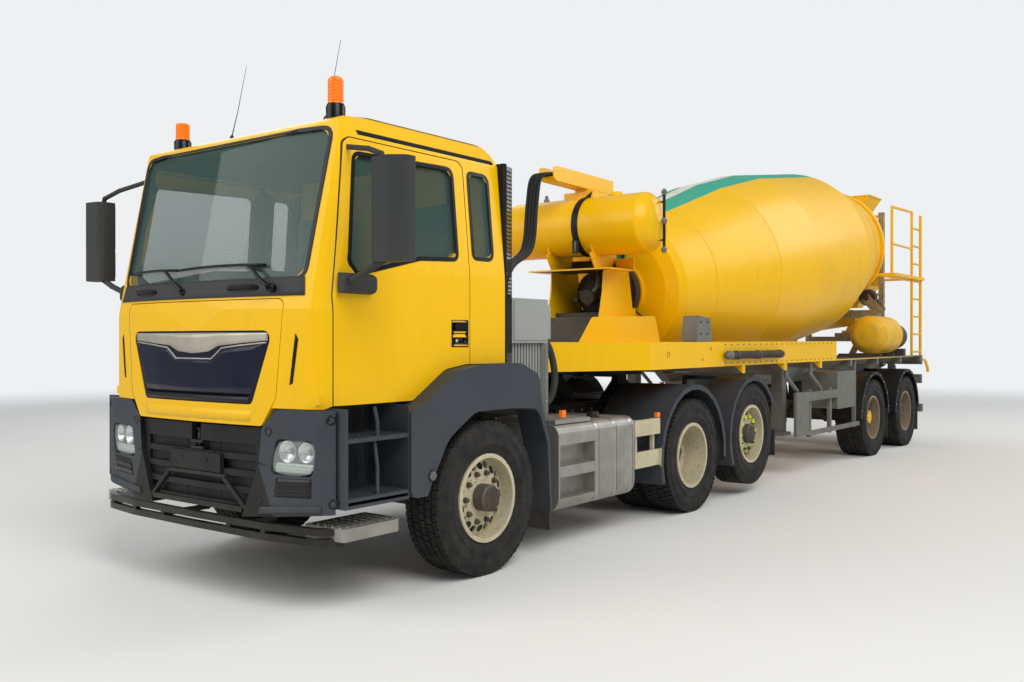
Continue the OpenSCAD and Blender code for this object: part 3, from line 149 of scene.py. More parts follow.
class Shape:
    """Vertices and faces of one piece, gathered before they become a mesh."""

    def __init__(self):
        self.verts, self.faces, self.slots, self.smooth = [], [], [], []

    def add(self, verts, faces, slot=0, smooth=False):
        base = len(self.verts)
        self.verts += [tuple(v) for v in verts]
        self.faces += [[base + i for i in f] for f in faces]
        self.slots += [slot] * len(faces)
        self.smooth += [smooth] * len(faces)
        return self

    def box(self, lo, hi, slot=0):
        x0, y0, z0 = (min(a, b) for a, b in zip(lo, hi))
        x1, y1, z1 = (max(a, b) for a, b in zip(lo, hi))
        v = [(x, y, z) for x in (x0, x1) for y in (y0, y1) for z in (z0, z1)]
        f = [(0, 1, 3, 2), (4, 6, 7, 5), (0, 4, 5, 1), (2, 3, 7, 6), (0, 2, 6, 4), (1, 5, 7, 3)]
        return self.add(v, f, slot)

    def tube(self, path, r, slot=0, sides=10, closed=False):
        """A round tube along a path; r may be a list of radii."""
        path = [Vector(p) for p in path]
        n = len(path)
        radii = r if isinstance(r, (list, tuple)) else [r] * n
        verts, faces = [], []
        u = None
        for i, p in enumerate(path):
            a = path[(i - 1) % n] if closed or i else p
            b = path[(i + 1) % n] if closed or i < n - 1 else p
            t = (b - a).normalized()
            if u is None:
                u = t.orthogonal().normalized()
            u = (u - t * u.dot(t)).normalized()
            w = t.cross(u)
            for k in range(sides):
                c = 2 * pi * k / sides
                verts.append(p + (u * cos(c) + w * sin(c)) * radii[i])
        last = n if closed else n - 1
        for i in range(last):
            for k in range(sides):
                j, k2 = (i + 1) % n, (k + 1) % sides
                faces.append((i * sides + k, i * sides + k2, j * sides + k2, j * sides + k))
        self.add(verts, faces, slot, True)
        if not closed:
            self.add(verts[:sides], [tuple(reversed(range(sides)))], slot)
            self.add(verts[-sides:], [tuple(range(sides))], slot)
        return self

    def rod(self, p, q, r, slot=0, sides=16, r2=None):
        """A straight round bar with flat ends."""
        return self.lathe([(0, 0), (r, 0), (r if r2 is None else r2, 1), (0, 1)], p, q, slot, sides)

    def lathe(self, profile, p, q, slot=0, sides=32, smooth=True, start=0.0):
        """Revolves rows of (radius, share of the way from p to q); a share may pass 1."""
        p, q = Vector(p), Vector(q)
        d = q - p
        t = d.normalized()
        u = t.orthogonal().normalized()
        w = t.cross(u)
        verts, faces = [], []
        for r, h in profile:
            for k in range(sides):
                c = 2 * pi * k / sides + start
                verts.append(p + d * h + (u * cos(c) + w * sin(c)) * max(r, 1e-5))
        for i in range(len(profile) - 1):
            for k in range(sides):
                k2 = (k + 1) % sides
                faces.append((i * sides + k, i * sides + k2, (i + 1) * sides + k2, (i + 1) * sides + k))
        return self.add(verts, faces, slot, smooth)

    def prism(self, outline, along, slot=0):
        """Extrudes a flat outline of 3-D points by a vector."""
        n = len(outline)
        along = Vector(along)
        outline = [Vector(p) for p in outline]
        verts = outline + [p + along for p in outline]
        area = sum((outline[i - 1].cross(outline[i]) for i in range(n)), Vector())
        faces = [tuple(range(n)), tuple(reversed(range(n, 2 * n)))]
        faces += [(i, i + n, (i + 1) % n + n, (i + 1) % n) for i in range(n)]
        if area.dot(along) > 0:
            faces = [tuple(reversed(f)) for f in faces]
        return self.add(verts, faces, slot)

    def ribbon(self, points, normals, half, thick, slot=0, closed=False):
        """A flat strip that follows points on a surface, standing out by thick."""
        n = len(points)
        verts, faces = [], []
        for i in range(n):
            a = points[(i - 1) % n] if closed or i else points[i]
            b = points[(i + 1) % n] if closed or i < n - 1 else points[i]
            side = (b - a).normalized().cross(normals[i]).normalized() * half
            top = normals[i] * thick
            low = normals[i] * -0.002
            p = points[i]
            verts += [p - side + low, p - side * 0.8 + top, p + side * 0.8 + top, p + side + low]
        last = n if closed else n - 1
        for i in range(last):
            a, b = 4 * i, 4 * ((i + 1) % n)
            for k in range(3):
                faces.append((a + k, b + k, b + k + 1, a + k + 1))
            faces.append((a + 3, b + 3, b, a))
        if not closed:
            faces += [(0, 1, 2, 3), (4 * n - 1, 4 * n - 2, 4 * n - 3, 4 * n - 4)]
        return self.add(verts, faces, slot)

    def patch(self, corners, nx, ny, lift, laying, slot=0, thick=None, wave=0.0, hole=False, soft=0.0):
        """A thin cover laid over a four-cornered field; soft rounds its corners."""
        a, b, c, d = (Vector(p) for p in corners)
        grid = []
        for j in range(ny + 1):
            for i in range(nx + 1):
                u, v = 2 * i / nx - 1, 2 * j / ny - 1
                u, v = 0.5 + u * sqrt(1 - soft * v * v / 2) / 2, 0.5 + v * sqrt(1 - soft * u * u / 2) / 2
                grid.append(a * (1 - u) * (1 - v) + b * u * (1 - v) + c * u * v + d * (1 - u) * v)
        return self.sheet(grid, nx, ny, lift, laying, slot, thick, wave, hole)

    def sheet(self, grid, nx, ny, lift, laying, slot=0, thick=None, wave=0.0, hole=False):
        """A thin cover laid over a grid of points; a hole leaves its middle open."""
        spots, normals = laying(grid)
        thick = lift + 0.003 if thick is None else thick
        rise = [lift + (wave if k % (nx + 1) % 2 else 0) for k in range(len(spots))]
        top = [p + n * h for p, n, h in zip(spots, normals, rise)]
        low = [p + n * (lift - thick) for p, n in zip(spots, normals)]
        m = len(top)
        keep = {(i, j) for i in range(nx) for j in range(ny)}
        if hole:
            keep = {(i, j) for i, j in keep if i in (0, nx - 1) or j in (0, ny - 1)}
        faces = []
        for i, j in keep:
            k = j * (nx + 1) + i
            q = [k, k + 1, k + nx + 2, k + nx + 1]
            faces += [tuple(q), tuple(k + m for k in reversed(q))]
            for (di, dj), (s, e) in (((0, -1), (0, 1)), ((1, 0), (1, 2)), ((0, 1), (2, 3)), ((-1, 0), (3, 0))):
                if (i + di, j + dj) not in keep:
                    faces.append((q[e], q[s], q[s] + m, q[e] + m))
        return self.add(top + low, faces, slot, True)

    def join(self, mesh, matrix, slot=0):
        """Takes in a copy of a mesh, placed by a matrix."""
        return self.add([matrix @ v.co for v in mesh.vertices], [tuple(p.vertices) for p in mesh.polygons], slot)

    def take(self, other, matrix):
        """Takes in a copy of another shape, placed by a matrix."""
        self.add([matrix @ Vector(v) for v in other.verts], other.faces)
        self.smooth[-len(other.smooth):] = other.smooth

    def flipped(self):
        """Moves all to the other side of the truck."""
        self.verts = [(x, -y, z) for x, y, z in self.verts]
        self.faces = [list(reversed(f)) for f in self.faces]
        return self

    def mirrored(self):
        """Adds the same again on the other side of the truck."""
        n = len(self.verts)
        self.verts += [(x, -y, z) for x, y, z in self.verts]
        self.faces += [[n + i for i in reversed(f)] for f in self.faces]
        self.slots += self.slots
        self.smooth += self.smooth
        return self

    def piece(self, name, body, skins, bevel=0.0, recalc=False):
        """Makes the object, lets it ride on a body and gives it its finishes, named in one line."""
        mesh = bpy.data.meshes.new(name)
        mesh.from_pydata(self.verts, [], self.faces)
        for skin in skins.split():
            mesh.materials.append(M[skin])
        mesh.polygons.foreach_set("material_index", self.slots)
        mesh.polygons.foreach_set("use_smooth", self.smooth)
        if recalc:
            edit = bmesh.new()
            edit.from_mesh(mesh)
            bmesh.ops.remove_doubles(edit, verts=edit.verts, dist=1e-5)
            bmesh.ops.recalc_face_normals(edit, faces=edit.faces)
            edit.to_mesh(mesh)
            edit.free()
        mesh.update()
        obj = linked(name, mesh)
        if bevel:
            mod = obj.modifiers.new("edges", "BEVEL")
            mod.width = bevel
            mod.segments = 2
            mod.limit_method = "ANGLE"
            mod.angle_limit = radians(40)
        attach(obj, body)
        return obj


def smooth_path(points, steps):
    """Points of a smooth curve through the given ones."""
    p = [Vector(q) for q in points]
    out = []
    for i in range(len(p) - 1):
        a, b, c, d = p[max(i - 1, 0)], p[i], p[i + 1], p[min(i + 2, len(p) - 1)]
        for j in range(steps):
            t = j / steps
            bend = (a - b * 2.5 + c * 2 - d / 2) * t * t + (b * 3 - c * 3 + d - a) * t ** 3 / 2
            out.append(b + (c - a) * t / 2 + bend)
    return out + [p[-1]]


def rounded(rows, steps=4):
    """A flat outline from rows of (x, y, corner radius)."""
    out = []
    n = len(rows)
    for i in range(n):
        q = Vector(rows[i][:2])
        r = rows[i][2]
        if not r:
            out.append(q)
            continue
        a = (Vector(rows[i - 1][:2]) - q).normalized()
        b = (Vector(rows[(i + 1) % n][:2]) - q).normalized()
        run = r / tan(a.angle(b) / 2)
        p0, p1 = q + a * run, q + b * run
        for k in range(steps + 1):
            t = k / steps
            out.append(p0 * (1 - t) ** 2 + q * (2 * t * (1 - t)) + p1 * t * t)
    return out


def spaced(points, step, closed=True):
    """The same line with a point at least every step."""
    out = []
    n = len(points)
    for i in range(n if closed else n - 1):
        a, b = points[i], points[(i + 1) % n]
        parts = max(1, int((b - a).length / step))
        out += [a.lerp(b, k / parts) for k in range(parts)]
    return out if closed else out + [points[-1]]


def between(low, high, nx, ny):
    """A grid of points between two lines, each given as rows of (along, height)."""
    def height(line, x):
        for (x0, z0), (x1, z1) in zip(line, line[1:]):
            if x0 <= x <= x1 + 1e-9:
                return z0 + (z1 - z0) * (x - x0) / (x1 - x0)
        return line[-1][1]
    grid = []
    for j in range(ny + 1):
        for i in range(nx + 1):
            x = low[0][0] + (low[-1][0] - low[0][0]) * i / nx
            a, b = height(low, x), height(high, x)
            grid.append(Vector((x, a + (b - a) * j / ny)))
    return grid


_trees = {}


def surface_of(nodes):
    """A search tree over the solids of some nodes."""
    key = tuple(nodes)
    if key not in _trees:
        verts, faces = [], []
        for name in nodes:
            mesh = frame["nodes"][name].data
            base = len(verts)
            verts += [v.co.copy() for v in mesh.vertices]
            faces += [[base + i for i in p.vertices] for p in mesh.polygons]
        _trees[key] = BVHTree.FromPolygons(verts, faces)
    return _trees[key]


FRONT = ("cab_shell", "front_flap", "grille", "bumper", "cab_glass", "door_l", "door_r")
FRONT_SHELL = ("cab_shell", "front_flap")
SIDE_L = ("cab_shell", "door_l")


def lay_front(points, nodes=FRONT):
    """Puts points, given as (across, height), on the front of the cab."""
    return lay([at_axle(3, y, z) for y, z in points], Vector((-1, 0, 0)), nodes)


def lay_side(points, nodes=SIDE_L):
    """Puts points, given as (along, height), on the left side of the cab."""
    return lay([at_axle(x, 3, z) for x, z in points], Vector((0, -1, 0)), nodes)


def lay(points, way, nodes):
    """Where rays from some points first meet the solids of some nodes, with the normals there."""
    tree = surface_of(nodes)
    spots, normals = [], []
    for p in points:
        hit, normal, _, _ = tree.ray_cast(p, way)
        if hit is None:
            raise RuntimeError("nothing lies under the point %s" % (tuple(p),))
        if normal.dot(way) > 0:
            normal = -normal
        spots.append(hit)
        normals.append(normal)
    return spots, normals


def highest_front(tree, y, z, step):
    """The foremost of nine hits of a tree on a short upright line, over any slot in it."""
    hits = [tree.ray_cast(at_axle(3, y, z + step * k), Vector((-1, 0, 0))) for k in range(-4, 5)]
    return max((h for h in hits if h[0] is not None), key=lambda h: h[0].x)


def behind(p, depth):
    """The point, moved back to lie at least this deep behind the cab's foremost face."""
    return Vector((min(p.x, CAB_FACE - depth), p.y, p.z))


# ---------------------------------------------------------------- finishes

def node(tree, kind, inputs=None, stops=None, **settings):
    """Adds one node with its settings; an input that is a socket is linked, stops fill a colour ramp."""
    n = tree.nodes.new(kind)
    for key, value in settings.items():
        setattr(n, key, value)
    for key, value in (inputs or {}).items():
        if isinstance(value, bpy.types.NodeSocket):
            tree.links.new(value, n.inputs[key])
        else:
            n.inputs[key].default_value = value
    for i, (place, colour) in enumerate(stops or ()):
        e = n.color_ramp.elements[i] if i < 2 else n.color_ramp.elements.new(1.0)
        e.position = place
        e.color = colour if isinstance(colour, tuple) else (colour, colour, colour, 1)
    return n


def shaded(colour, share):
    """The same colour, lighter or darker by a share."""
    return tuple(min(1.0, c * share) for c in colour[:3]) + (1.0,)


class Finish:
    """A material being built: its tree, its shader and the object's own coordinates."""

    def __init__(self, name):
        self.mat = bpy.data.materials.new(name)
        self.mat.use_nodes = True
        self.tree = self.mat.node_tree
        self.tree.nodes.clear()
        self.shader = node(self.tree, "ShaderNodeBsdfPrincipled")
        node(self.tree, "ShaderNodeOutputMaterial", {"Surface": self.shader.outputs[0]})
        self.where = node(self.tree, "ShaderNodeTexCoord").outputs["Object"]

    def cloud(self, grain_mm, detail=4.0, rough=0.55, stretch=None):
        """Soft random patches about grain_mm across, drawn out by stretch."""
        where = self.where
        if stretch:
            where = node(self.tree, "ShaderNodeMapping", {"Vector": where, "Scale": stretch}).outputs[0]
        return node(self.tree, "ShaderNodeTexNoise", {"Vector": where, "Scale": 1000.0 / grain_mm, "Detail": detail,
                                                      "Roughness": rough}).outputs[0]

    def grime(self, low, high, amount):
        """How much dirt lies here: most at height low, none at height high, in patches of 300 mm."""
        z = node(self.tree, "ShaderNodeSeparateXYZ", {0: self.where}).outputs["Z"]
        fall = node(self.tree, "ShaderNodeMapRange", {"Value": z, "From Min": low, "From Max": high, "To Min": amount,
                                                      "To Max": 0.0}).outputs[0]
        patch = node(self.tree, "ShaderNodeValToRGB", {0: self.cloud(300, 6, 0.65)}, stops=[(0.36, 0.35), (0.62, 1.0)])
        return node(self.tree, "ShaderNodeMath", {0: fall, 1: patch.outputs[0]}, operation="MULTIPLY",
                    use_clamp=True).outputs[0]

    def drips(self, start, amount):
        """Streaks that run down, about 40 mm apart."""
        band = self.cloud(1000, 3, 0.5, (25, 25, 1.6))
        return node(self.tree, "ShaderNodeValToRGB", {0: band},
                    stops=[(start, 0.0), (start + 0.18, amount)]).outputs[0]

    def over(self, fac, under, colour):
        """Colour laid over what is under it, as far as fac says."""
        return node(self.tree, "ShaderNodeMix", {0: fac, 6: under, 7: colour}, data_type="RGBA").outputs[2]

    def gloss(self, film, clean, dirty):
        """Roughness from clean to dirty, as the film grows."""
        return node(self.tree, "ShaderNodeMapRange", {"Value": film, "To Min": clean, "To Max": dirty}).outputs[0]

    def relief(self, height, strength, depth):
        bump = node(self.tree, "ShaderNodeBump", {"Height": height, "Strength": strength, "Distance": depth})
        self.tree.links.new(bump.outputs[0], self.shader.inputs["Normal"])

    def set(self, **inputs):
        """Sets or links the shader's inputs; an underscore stands for a space."""
        for key, value in inputs.items():
            socket = self.shader.inputs[key.replace("_", " ")]
            if isinstance(value, bpy.types.NodeSocket):
                self.tree.links.new(value, socket)
            else:
                socket.default_value = value
        return self.mat


def enamel(name, colour, amount=0.5, low=0.3, high=1.9, gloss=0.33, rust=0.0, streaks=0.28, dirt="#8a7d66"):
    """Two-coat enamel, sprayed: an even gloss above, road dust and a dry cement film below."""
    f = Finish(name)
    base = linear(colour) if isinstance(colour, str) else tuple(colour) + (1.0,)
    tone = node(f.tree, "ShaderNodeMath", {0: f.cloud(900, 3), 1: 0.4}, operation="MULTIPLY").outputs[0]
    film = node(f.tree, "ShaderNodeMath", {0: f.grime(low, high, amount), 1: f.drips(0.55, streaks * amount)},
                operation="ADD", use_clamp=True).outputs[0]
    shade = f.over(film, f.over(tone, base, shaded(base, 0.8)), linear(dirt))
    if rust:
        # rust breaks through in spots of about 25 mm
        spots = node(f.tree, "ShaderNodeValToRGB", {0: f.cloud(26, 6, 0.7)},
                     stops=[(0.64 - rust * 0.12, 0.0), (0.72 - rust * 0.1, 1.0)])
        shade = f.over(spots.outputs[0], shade, linear("#6b3f22"))
    # orange peel of the sprayed coat, 5 mm across
    f.relief(f.cloud(5, 3), 0.05, 0.002)
    f.set(Specular_IOR_Level=0.26, Coat_Weight=0.06, Coat_Roughness=0.12)
    return f.set(Base_Color=shade, Roughness=f.gloss(film, gloss, 0.85))


def moulded(name, colour, amount=0.45, low=0.2, high=1.8, gloss=0.5, grain_mm=1.5, dust="#857d70"):
    """Moulded PP or polyethylene: its spark-eroded grain scatters the highlights, the sun greys it in patches."""
    f = Finish(name)
    film = f.grime(low, high, amount)
    base = linear(colour)
    fade = node(f.tree, "ShaderNodeMath", {0: f.cloud(450), 1: 0.5}, operation="MULTIPLY").outputs[0]
    shade = f.over(film, f.over(fade, base, shaded(base, 1.5)), linear(dust))
    f.relief(f.cloud(grain_mm, 2), 0.12, 0.001)
    return f.set(Base_Color=shade, Roughness=f.gloss(film, gloss, 0.9), Specular_IOR_Level=0.24)


def bare_metal(name, colour, rough=0.38, amount=0.6, low=0.2, high=1.6, metal=1.0, dirt="#6d6557"):
    """Mill-finish aluminium or dipped zinc: dull and cloudy, with grey-brown dirt in patches."""
    f = Finish(name)
    film = f.grime(low, high, amount)
    patch = f.cloud(160, 5, 0.6)
    base = linear(colour)
    shade = f.over(film, f.over(patch, base, shaded(base, 0.62)), linear(dirt))
    f.relief(f.cloud(7), 0.15, 0.001)
    return f.set(Base_Color=shade, Metallic=f.gloss(film, metal, metal * 0.25),
                 Roughness=f.gloss(patch, rough, min(1, rough + 0.35)))


def tyre_rubber():
    """Vulcanised carbon-black rubber: matt, with pale road dust held in its pores."""
    f = Finish("vulcanised_tyre_rubber")
    dust = node(f.tree, "ShaderNodeValToRGB", {0: f.cloud(110, 7, 0.7)}, stops=[(0.36, 0.0), (0.74, 0.34)]).outputs[0]
    f.relief(f.cloud(6, 5), 0.3, 0.002)
    f.set(Specular_IOR_Level=0.3)
    return f.set(Base_Color=f.over(dust, linear("#1b1b1c"), linear("#5b544a")), Roughness=0.85)


def laminated_glass():
    """Float glass with a green body tint: clear, with a sharp reflection and a thin film of dust."""
    f = Finish("green_tinted_float_glass")
    film = f.grime(1.9, 2.5, 0.25)
    return f.set(Base_Color=f.over(film, linear("#4f6d64"), linear("#858b80")), Roughness=0.03, IOR=1.5,
                 Alpha=f.gloss(film, 0.30, 0.62))


def lamp_cover(name, colour, glow=0.0, alpha=1.0, ribs_high=0.4):
    """Moulded acrylic: ribbed inside every 20 mm, so that it breaks up what is behind it, or nearly clear."""
    f = Finish(name)
    base = linear(colour)
    ribs = node(f.tree, "ShaderNodeTexWave", {"Vector": f.where, "Scale": 16.0}, bands_direction="Z").outputs[1]
    f.relief(ribs, ribs_high, 0.002)
    # painted shade along the ribs: the colour darkens in the wave of the ribs, and clear covers hardly show it
    dim = shaded(base, 0.72 if ribs_high > 0.1 else 0.97)
    return f.set(Base_Color=f.over(ribs, base, dim), Roughness=0.12, Emission_Color=base, Emission_Strength=glow,
                 Alpha=alpha)


def drum_enamel(body, stripe):
    """Enamel on the rolled shell: body colour, with two green stripes and a white one along the top."""
    f = Finish("drum_enamel")
    away = node(f.tree, "ShaderNodeVectorMath", {0: f.where, 1: tuple(DRUM_FOOT)}, operation="SUBTRACT").outputs[0]
    along, high = (node(f.tree, "ShaderNodeVectorMath", {0: away, 1: tuple(way)},
                        operation="DOT_PRODUCT").outputs["Value"] for way in (DRUM_AXIS, drum_up()))
    side = node(f.tree, "ShaderNodeSeparateXYZ", {0: away}).outputs["Y"]
    turn = node(f.tree, "ShaderNodeMath", {0: side, 1: high}, operation="ARCTAN2").outputs[0]
    # the stripes' edges lie at angles from straight up, in radians, over the front cone and the belly
    place = node(f.tree, "ShaderNodeMapRange", {"Value": turn, "From Min": -0.5, "From Max": 0.5}).outputs[0]
    base, green = tuple(body) + (1.0,), tuple(stripe) + (1.0,)
    band = node(f.tree, "ShaderNodeValToRGB", {0: place}, stops=[
        (0.0, base), (0.07, green), (0.36, linear("#e9ead8")), (0.57, green), (0.86, base)])
    band.color_ramp.interpolation = "CONSTANT"
    ends = node(f.tree, "ShaderNodeMath", {0: along, 1: BELLY_END}, operation="LESS_THAN").outputs[0]
    worn = node(f.tree, "ShaderNodeValToRGB", {0: f.cloud(900, 7, 0.6)}, stops=[(0.5, 0.0), (0.8, 0.25)]).outputs[0]
    striped = f.over(ends, base, band.outputs[0])
    shade = f.over(f.drips(0.62, 0.25), f.over(worn, striped, linear("#c79518")), linear("#a08a4e"))
    f.relief(f.cloud(17), 0.05, 0.003)
    f.set(Specular_IOR_Level=0.24, Coat_Weight=0.07, Coat_Roughness=0.12)
    return f.set(Base_Color=shade, Roughness=0.42)


M = {}


def finishes():
    """Makes every finish once."""
    if M:
        return M
    paint = bpy.context.scene.mixer_paint
    body, dust = tuple(paint.body), paint.dust
    M["yellow"] = enamel("yellow_enamel", body, dust * 0.6, high=1.4)
    M["yellow_low"] = enamel("dusty_yellow_enamel", body, dust * 2.0, high=2.8, gloss=0.45, rust=0.35)
    M["drum"] = drum_enamel(body, tuple(paint.stripe))
    M["black"] = enamel("black_chassis_enamel", "#161718", dust * 1.2, high=1.2, gloss=0.5)
    M["black_bar"] = enamel("black_bar_enamel", "#0f1011", dust * 0.3, gloss=0.32)
    M["grey"] = enamel("grey_cabinet_enamel", "#9fa29c", dust * 1.5, high=2.2, gloss=0.4)
    M["rust"] = enamel("worn_cradle_enamel", "#a99a78", dust, rust=0.9, gloss=0.6)
    M["cream"] = enamel("cream_wheel_enamel", "#d8cdac", dust * 1.5, rust=0.42, gloss=0.4)
    M["brown"] = enamel("worn_wheel_enamel", "#8f7d60", dust * 2.2, rust=0.6, gloss=0.5)
    M["red"] = enamel("red_fan_enamel", "#8e3029", 0.3, gloss=0.4)
    M["slate"] = moulded("slate_moulded_pp", "#333940", dust * 0.5)
    M["black_plastic"] = moulded("black_moulded_pp", "#101113", dust * 0.4)
    M["cowl"] = moulded("grey_cowl_pp", "#343535", 0.25, high=2.4, gloss=0.62)
    M["trim"] = moulded("black_gloss_abs", "#0e0f11", 0.1, gloss=0.22)
    M["navy"] = moulded("navy_gloss_abs", "#0d1028", 0.12, gloss=0.2)
    # the cab's grey lining, also used as painted shade in the door gaps and handle recesses
    M["cockpit_and_gap_shade"] = moulded("cockpit_abs_and_gap_shade", "#3a3d42", 0.1, gloss=0.6)
    M["seat"] = moulded("woven_seat_cover", "#565a60", 0.1, gloss=0.85, grain_mm=4)
    M["rubber"] = moulded("hose_cover_rubber", "#141415", 0.25, gloss=0.6, high=3.5)
    M["indicator"] = moulded("nut_indicator_pe", "#c9dd2a", 0.2)
    M["aluminium"] = bare_metal("mill_aluminium", "#c9c6bf")
    M["zinc"] = bare_metal("hot_dip_zinc", "#8f9089", rough=0.5, metal=0.7)
    M["silver"] = bare_metal("satin_chromed_abs", "#cdc6b6", rough=0.3, amount=0.15)
    M["steel"] = bare_metal("bright_zinc_plate", "#c4c4c2", rough=0.25, amount=0.2)
    M["chrome"] = bare_metal("vacuum_metallised_reflector", "#e8e8ea", rough=0.06, amount=0.0)
    M["oily"] = bare_metal("oily_cast_steel", "#4a443c", rough=0.45, metal=0.4, amount=0.7, high=3.0)
    M["tyre"] = tyre_rubber()
    M["glass"] = laminated_glass()
    M["lens"] = lamp_cover("clear_lamp_acrylic", "#dfe8e2", alpha=0.16, ribs_high=0.02)
    M["ribbed"] = lamp_cover("ribbed_lamp_acrylic", "#d9e0d6", alpha=0.6)
    M["orange"] = lamp_cover("orange_lamp_acrylic", "#ff7a12", 0.25)
    M["red_lens"] = lamp_cover("red_lamp_acrylic", "#b5141a", 0.1)
    return M


# ---------------------------------------------------------------- repeated pieces

# name: inputs, the node that spreads points, the node that makes one item, and the finish
PATTERNS = {
    # hexagon heads on a circle in the XY plane, standing along +Z
    "bolt_ring": ({"Count": 10, "Circle": 0.168, "Head": 0.018, "Height": 0.02},
                  ("MeshCircle", {"Vertices": "Count", "Radius": "Circle"}),
                  ("MeshCylinder", {"Vertices": 6, "Radius": "Head", "Depth": "Height"}), "oily"),
    # low round studs on a grid in the XY plane
    "stud_grid": ({"Long": 0.4, "Wide": 0.2, "Columns": 12, "Rows": 6, "Radius": 0.008, "Height": 0.006},
                  ("MeshGrid", {"Size X": "Long", "Size Y": "Wide", "Vertices X": "Columns", "Vertices Y": "Rows"}),
                  ("MeshCylinder", {"Vertices": 8, "Radius": "Radius", "Depth": "Height"}), "black_plastic"),
    # equal bars in a row along X
    "slat_row": ({"Count": 10, "Step": (0.036, 0.0, 0.0), "Size": (0.01, 0.5, 0.4)},
                 ("MeshLine", {"Count": "Count", "Offset": "Step"}), ("MeshCube", {"Size": "Size"}), "aluminium"),
}
SOCKETS = {int: "NodeSocketInt", float: "NodeSocketFloat", tuple: "NodeSocketVector"}


def geometry_tree(name, inputs):
    """An empty geometry tree with named inputs and one mesh output."""
    tree = bpy.data.node_groups.new(name, "GeometryNodeTree")
    for label, default in inputs.items():
        tree.interface.new_socket(label, in_out="INPUT", socket_type=SOCKETS[type(default)]).default_value = default
    tree.interface.new_socket("Geometry", in_out="OUTPUT", socket_type="NodeSocketGeometry")
    return tree, node(tree, "NodeGroupInput").outputs


def close_tree(tree, geometry, material):
    """Ends a tree in plain geometry with its material."""
    real = node(tree, "GeometryNodeRealizeInstances", {"Geometry": geometry})
    skin = node(tree, "GeometryNodeSetMaterial", {"Geometry": real.outputs[0], "Material": material})
    node(tree, "NodeGroupOutput", {"Geometry": skin.outputs[0]})
    return tree


def pattern_tree(name):
    """The tree of a pattern: an item stands on each point that the first node spreads."""
    inputs, points, item, finish = PATTERNS[name]
    tree, given = geometry_tree(name, inputs)
    made = []
    for kind, sockets in (points, item):
        values = {key: given[value] if isinstance(value, str) else value for key, value in sockets.items()}
        made.append(node(tree, "GeometryNode" + kind, values).outputs[0])
    spread = node(tree, "GeometryNodeInstanceOnPoints", {"Points": made[0], "Instance": made[1]})
    return close_tree(tree, spread.outputs[0], M[finish])


def tread_tree():
    """Tread blocks round a tyre: one slanted row, turned about +Z as often as asked."""
    tree, given = geometry_tree("tread_blocks", {
        "Rows": 64, "Radius": 0.515, "Block": (0.012, 0.04, 0.05), "Ribs": 5, "Start": (0.0, 0.0, -0.125),
        "Step": (0.0, 0.0, 0.0625)})
    ring = node(tree, "GeometryNodeMeshCircle", {"Vertices": given["Rows"], "Radius": given["Radius"]})
    block = node(tree, "GeometryNodeMeshCube", {"Size": given["Block"]})
    line = node(tree, "GeometryNodeMeshLine", {"Count": given["Ribs"], "Start Location": given["Start"],
                                               "Offset": given["Step"]})
    # every other rib is set half a block round
    index = node(tree, "GeometryNodeInputIndex").outputs[0]
    odd = node(tree, "ShaderNodeMath", {0: index, 1: 2.0}, operation="MODULO").outputs[0]
    shift = node(tree, "ShaderNodeMath", {0: odd, 1: 0.022}, operation="MULTIPLY").outputs[0]
    row = node(tree, "GeometryNodeSetPosition", {
        "Geometry": line.outputs[0], "Offset": node(tree, "ShaderNodeCombineXYZ", {"Y": shift}).outputs[0]})
    blocks = node(tree, "GeometryNodeInstanceOnPoints", {"Points": row.outputs[0], "Instance": block.outputs[0],
                                                         "Rotation": (radians(9), 0, 0)})
    place = node(tree, "GeometryNodeInputPosition").outputs[0]
    face = node(tree, "FunctionNodeAlignEulerToVector", {"Vector": place}, axis="X", pivot_axis="Z")
    spread = node(tree, "GeometryNodeInstanceOnPoints", {"Points": ring.outputs[0], "Instance": blocks.outputs[0],
                                                         "Rotation": face.outputs[0]})
    return close_tree(tree, spread.outputs[0], M["tyre"])


_grown = {}


def grown(name, **values):
    """The plain mesh of a pattern, or of the tread, for some named values."""
    if name not in _grown:
        _grown[name] = pattern_tree(name) if name in PATTERNS else tread_tree()
    tree = _grown[name]
    holder = linked(name, bpy.data.meshes.new(name))
    mod = holder.modifiers.new("grow", "NODES")
    mod.node_group = tree
    for item in tree.interface.items_tree:
        if item.in_out == "INPUT" and item.name in values:
            mod[item.identifier] = values[item.name]
    holder.update_tag()
    bpy.context.view_layer.update()
    seen = holder.evaluated_get(bpy.context.evaluated_depsgraph_get())
    mesh = bpy.data.meshes.new_from_object(seen)
    bpy.data.objects.remove(holder)
    return mesh


def shoulder_lug(shape, a, m, w):
    """A block that runs over the tyre's edge at angle a, on side m of a tyre with half width w."""
    corners = ((TYRE_R - 0.004, w - 0.030), (TYRE_R - 0.016, w - 0.0165), (TYRE_R - 0.032, w - 0.0125),
               (TYRE_R - 0.03, w - 0.03))
    pts = [(r * cos(a + da), r * sin(a + da), m * z) for da in (-0.030, 0.030) for r, z in corners]
    faces = [(0, 1, 2, 3), (7, 6, 5, 4), (0, 4, 5, 1), (1, 5, 6, 2), (2, 6, 7, 3), (3, 7, 4, 0)]
    shape.add(pts, [tuple(reversed(f)) for f in faces] if m > 0 else faces)


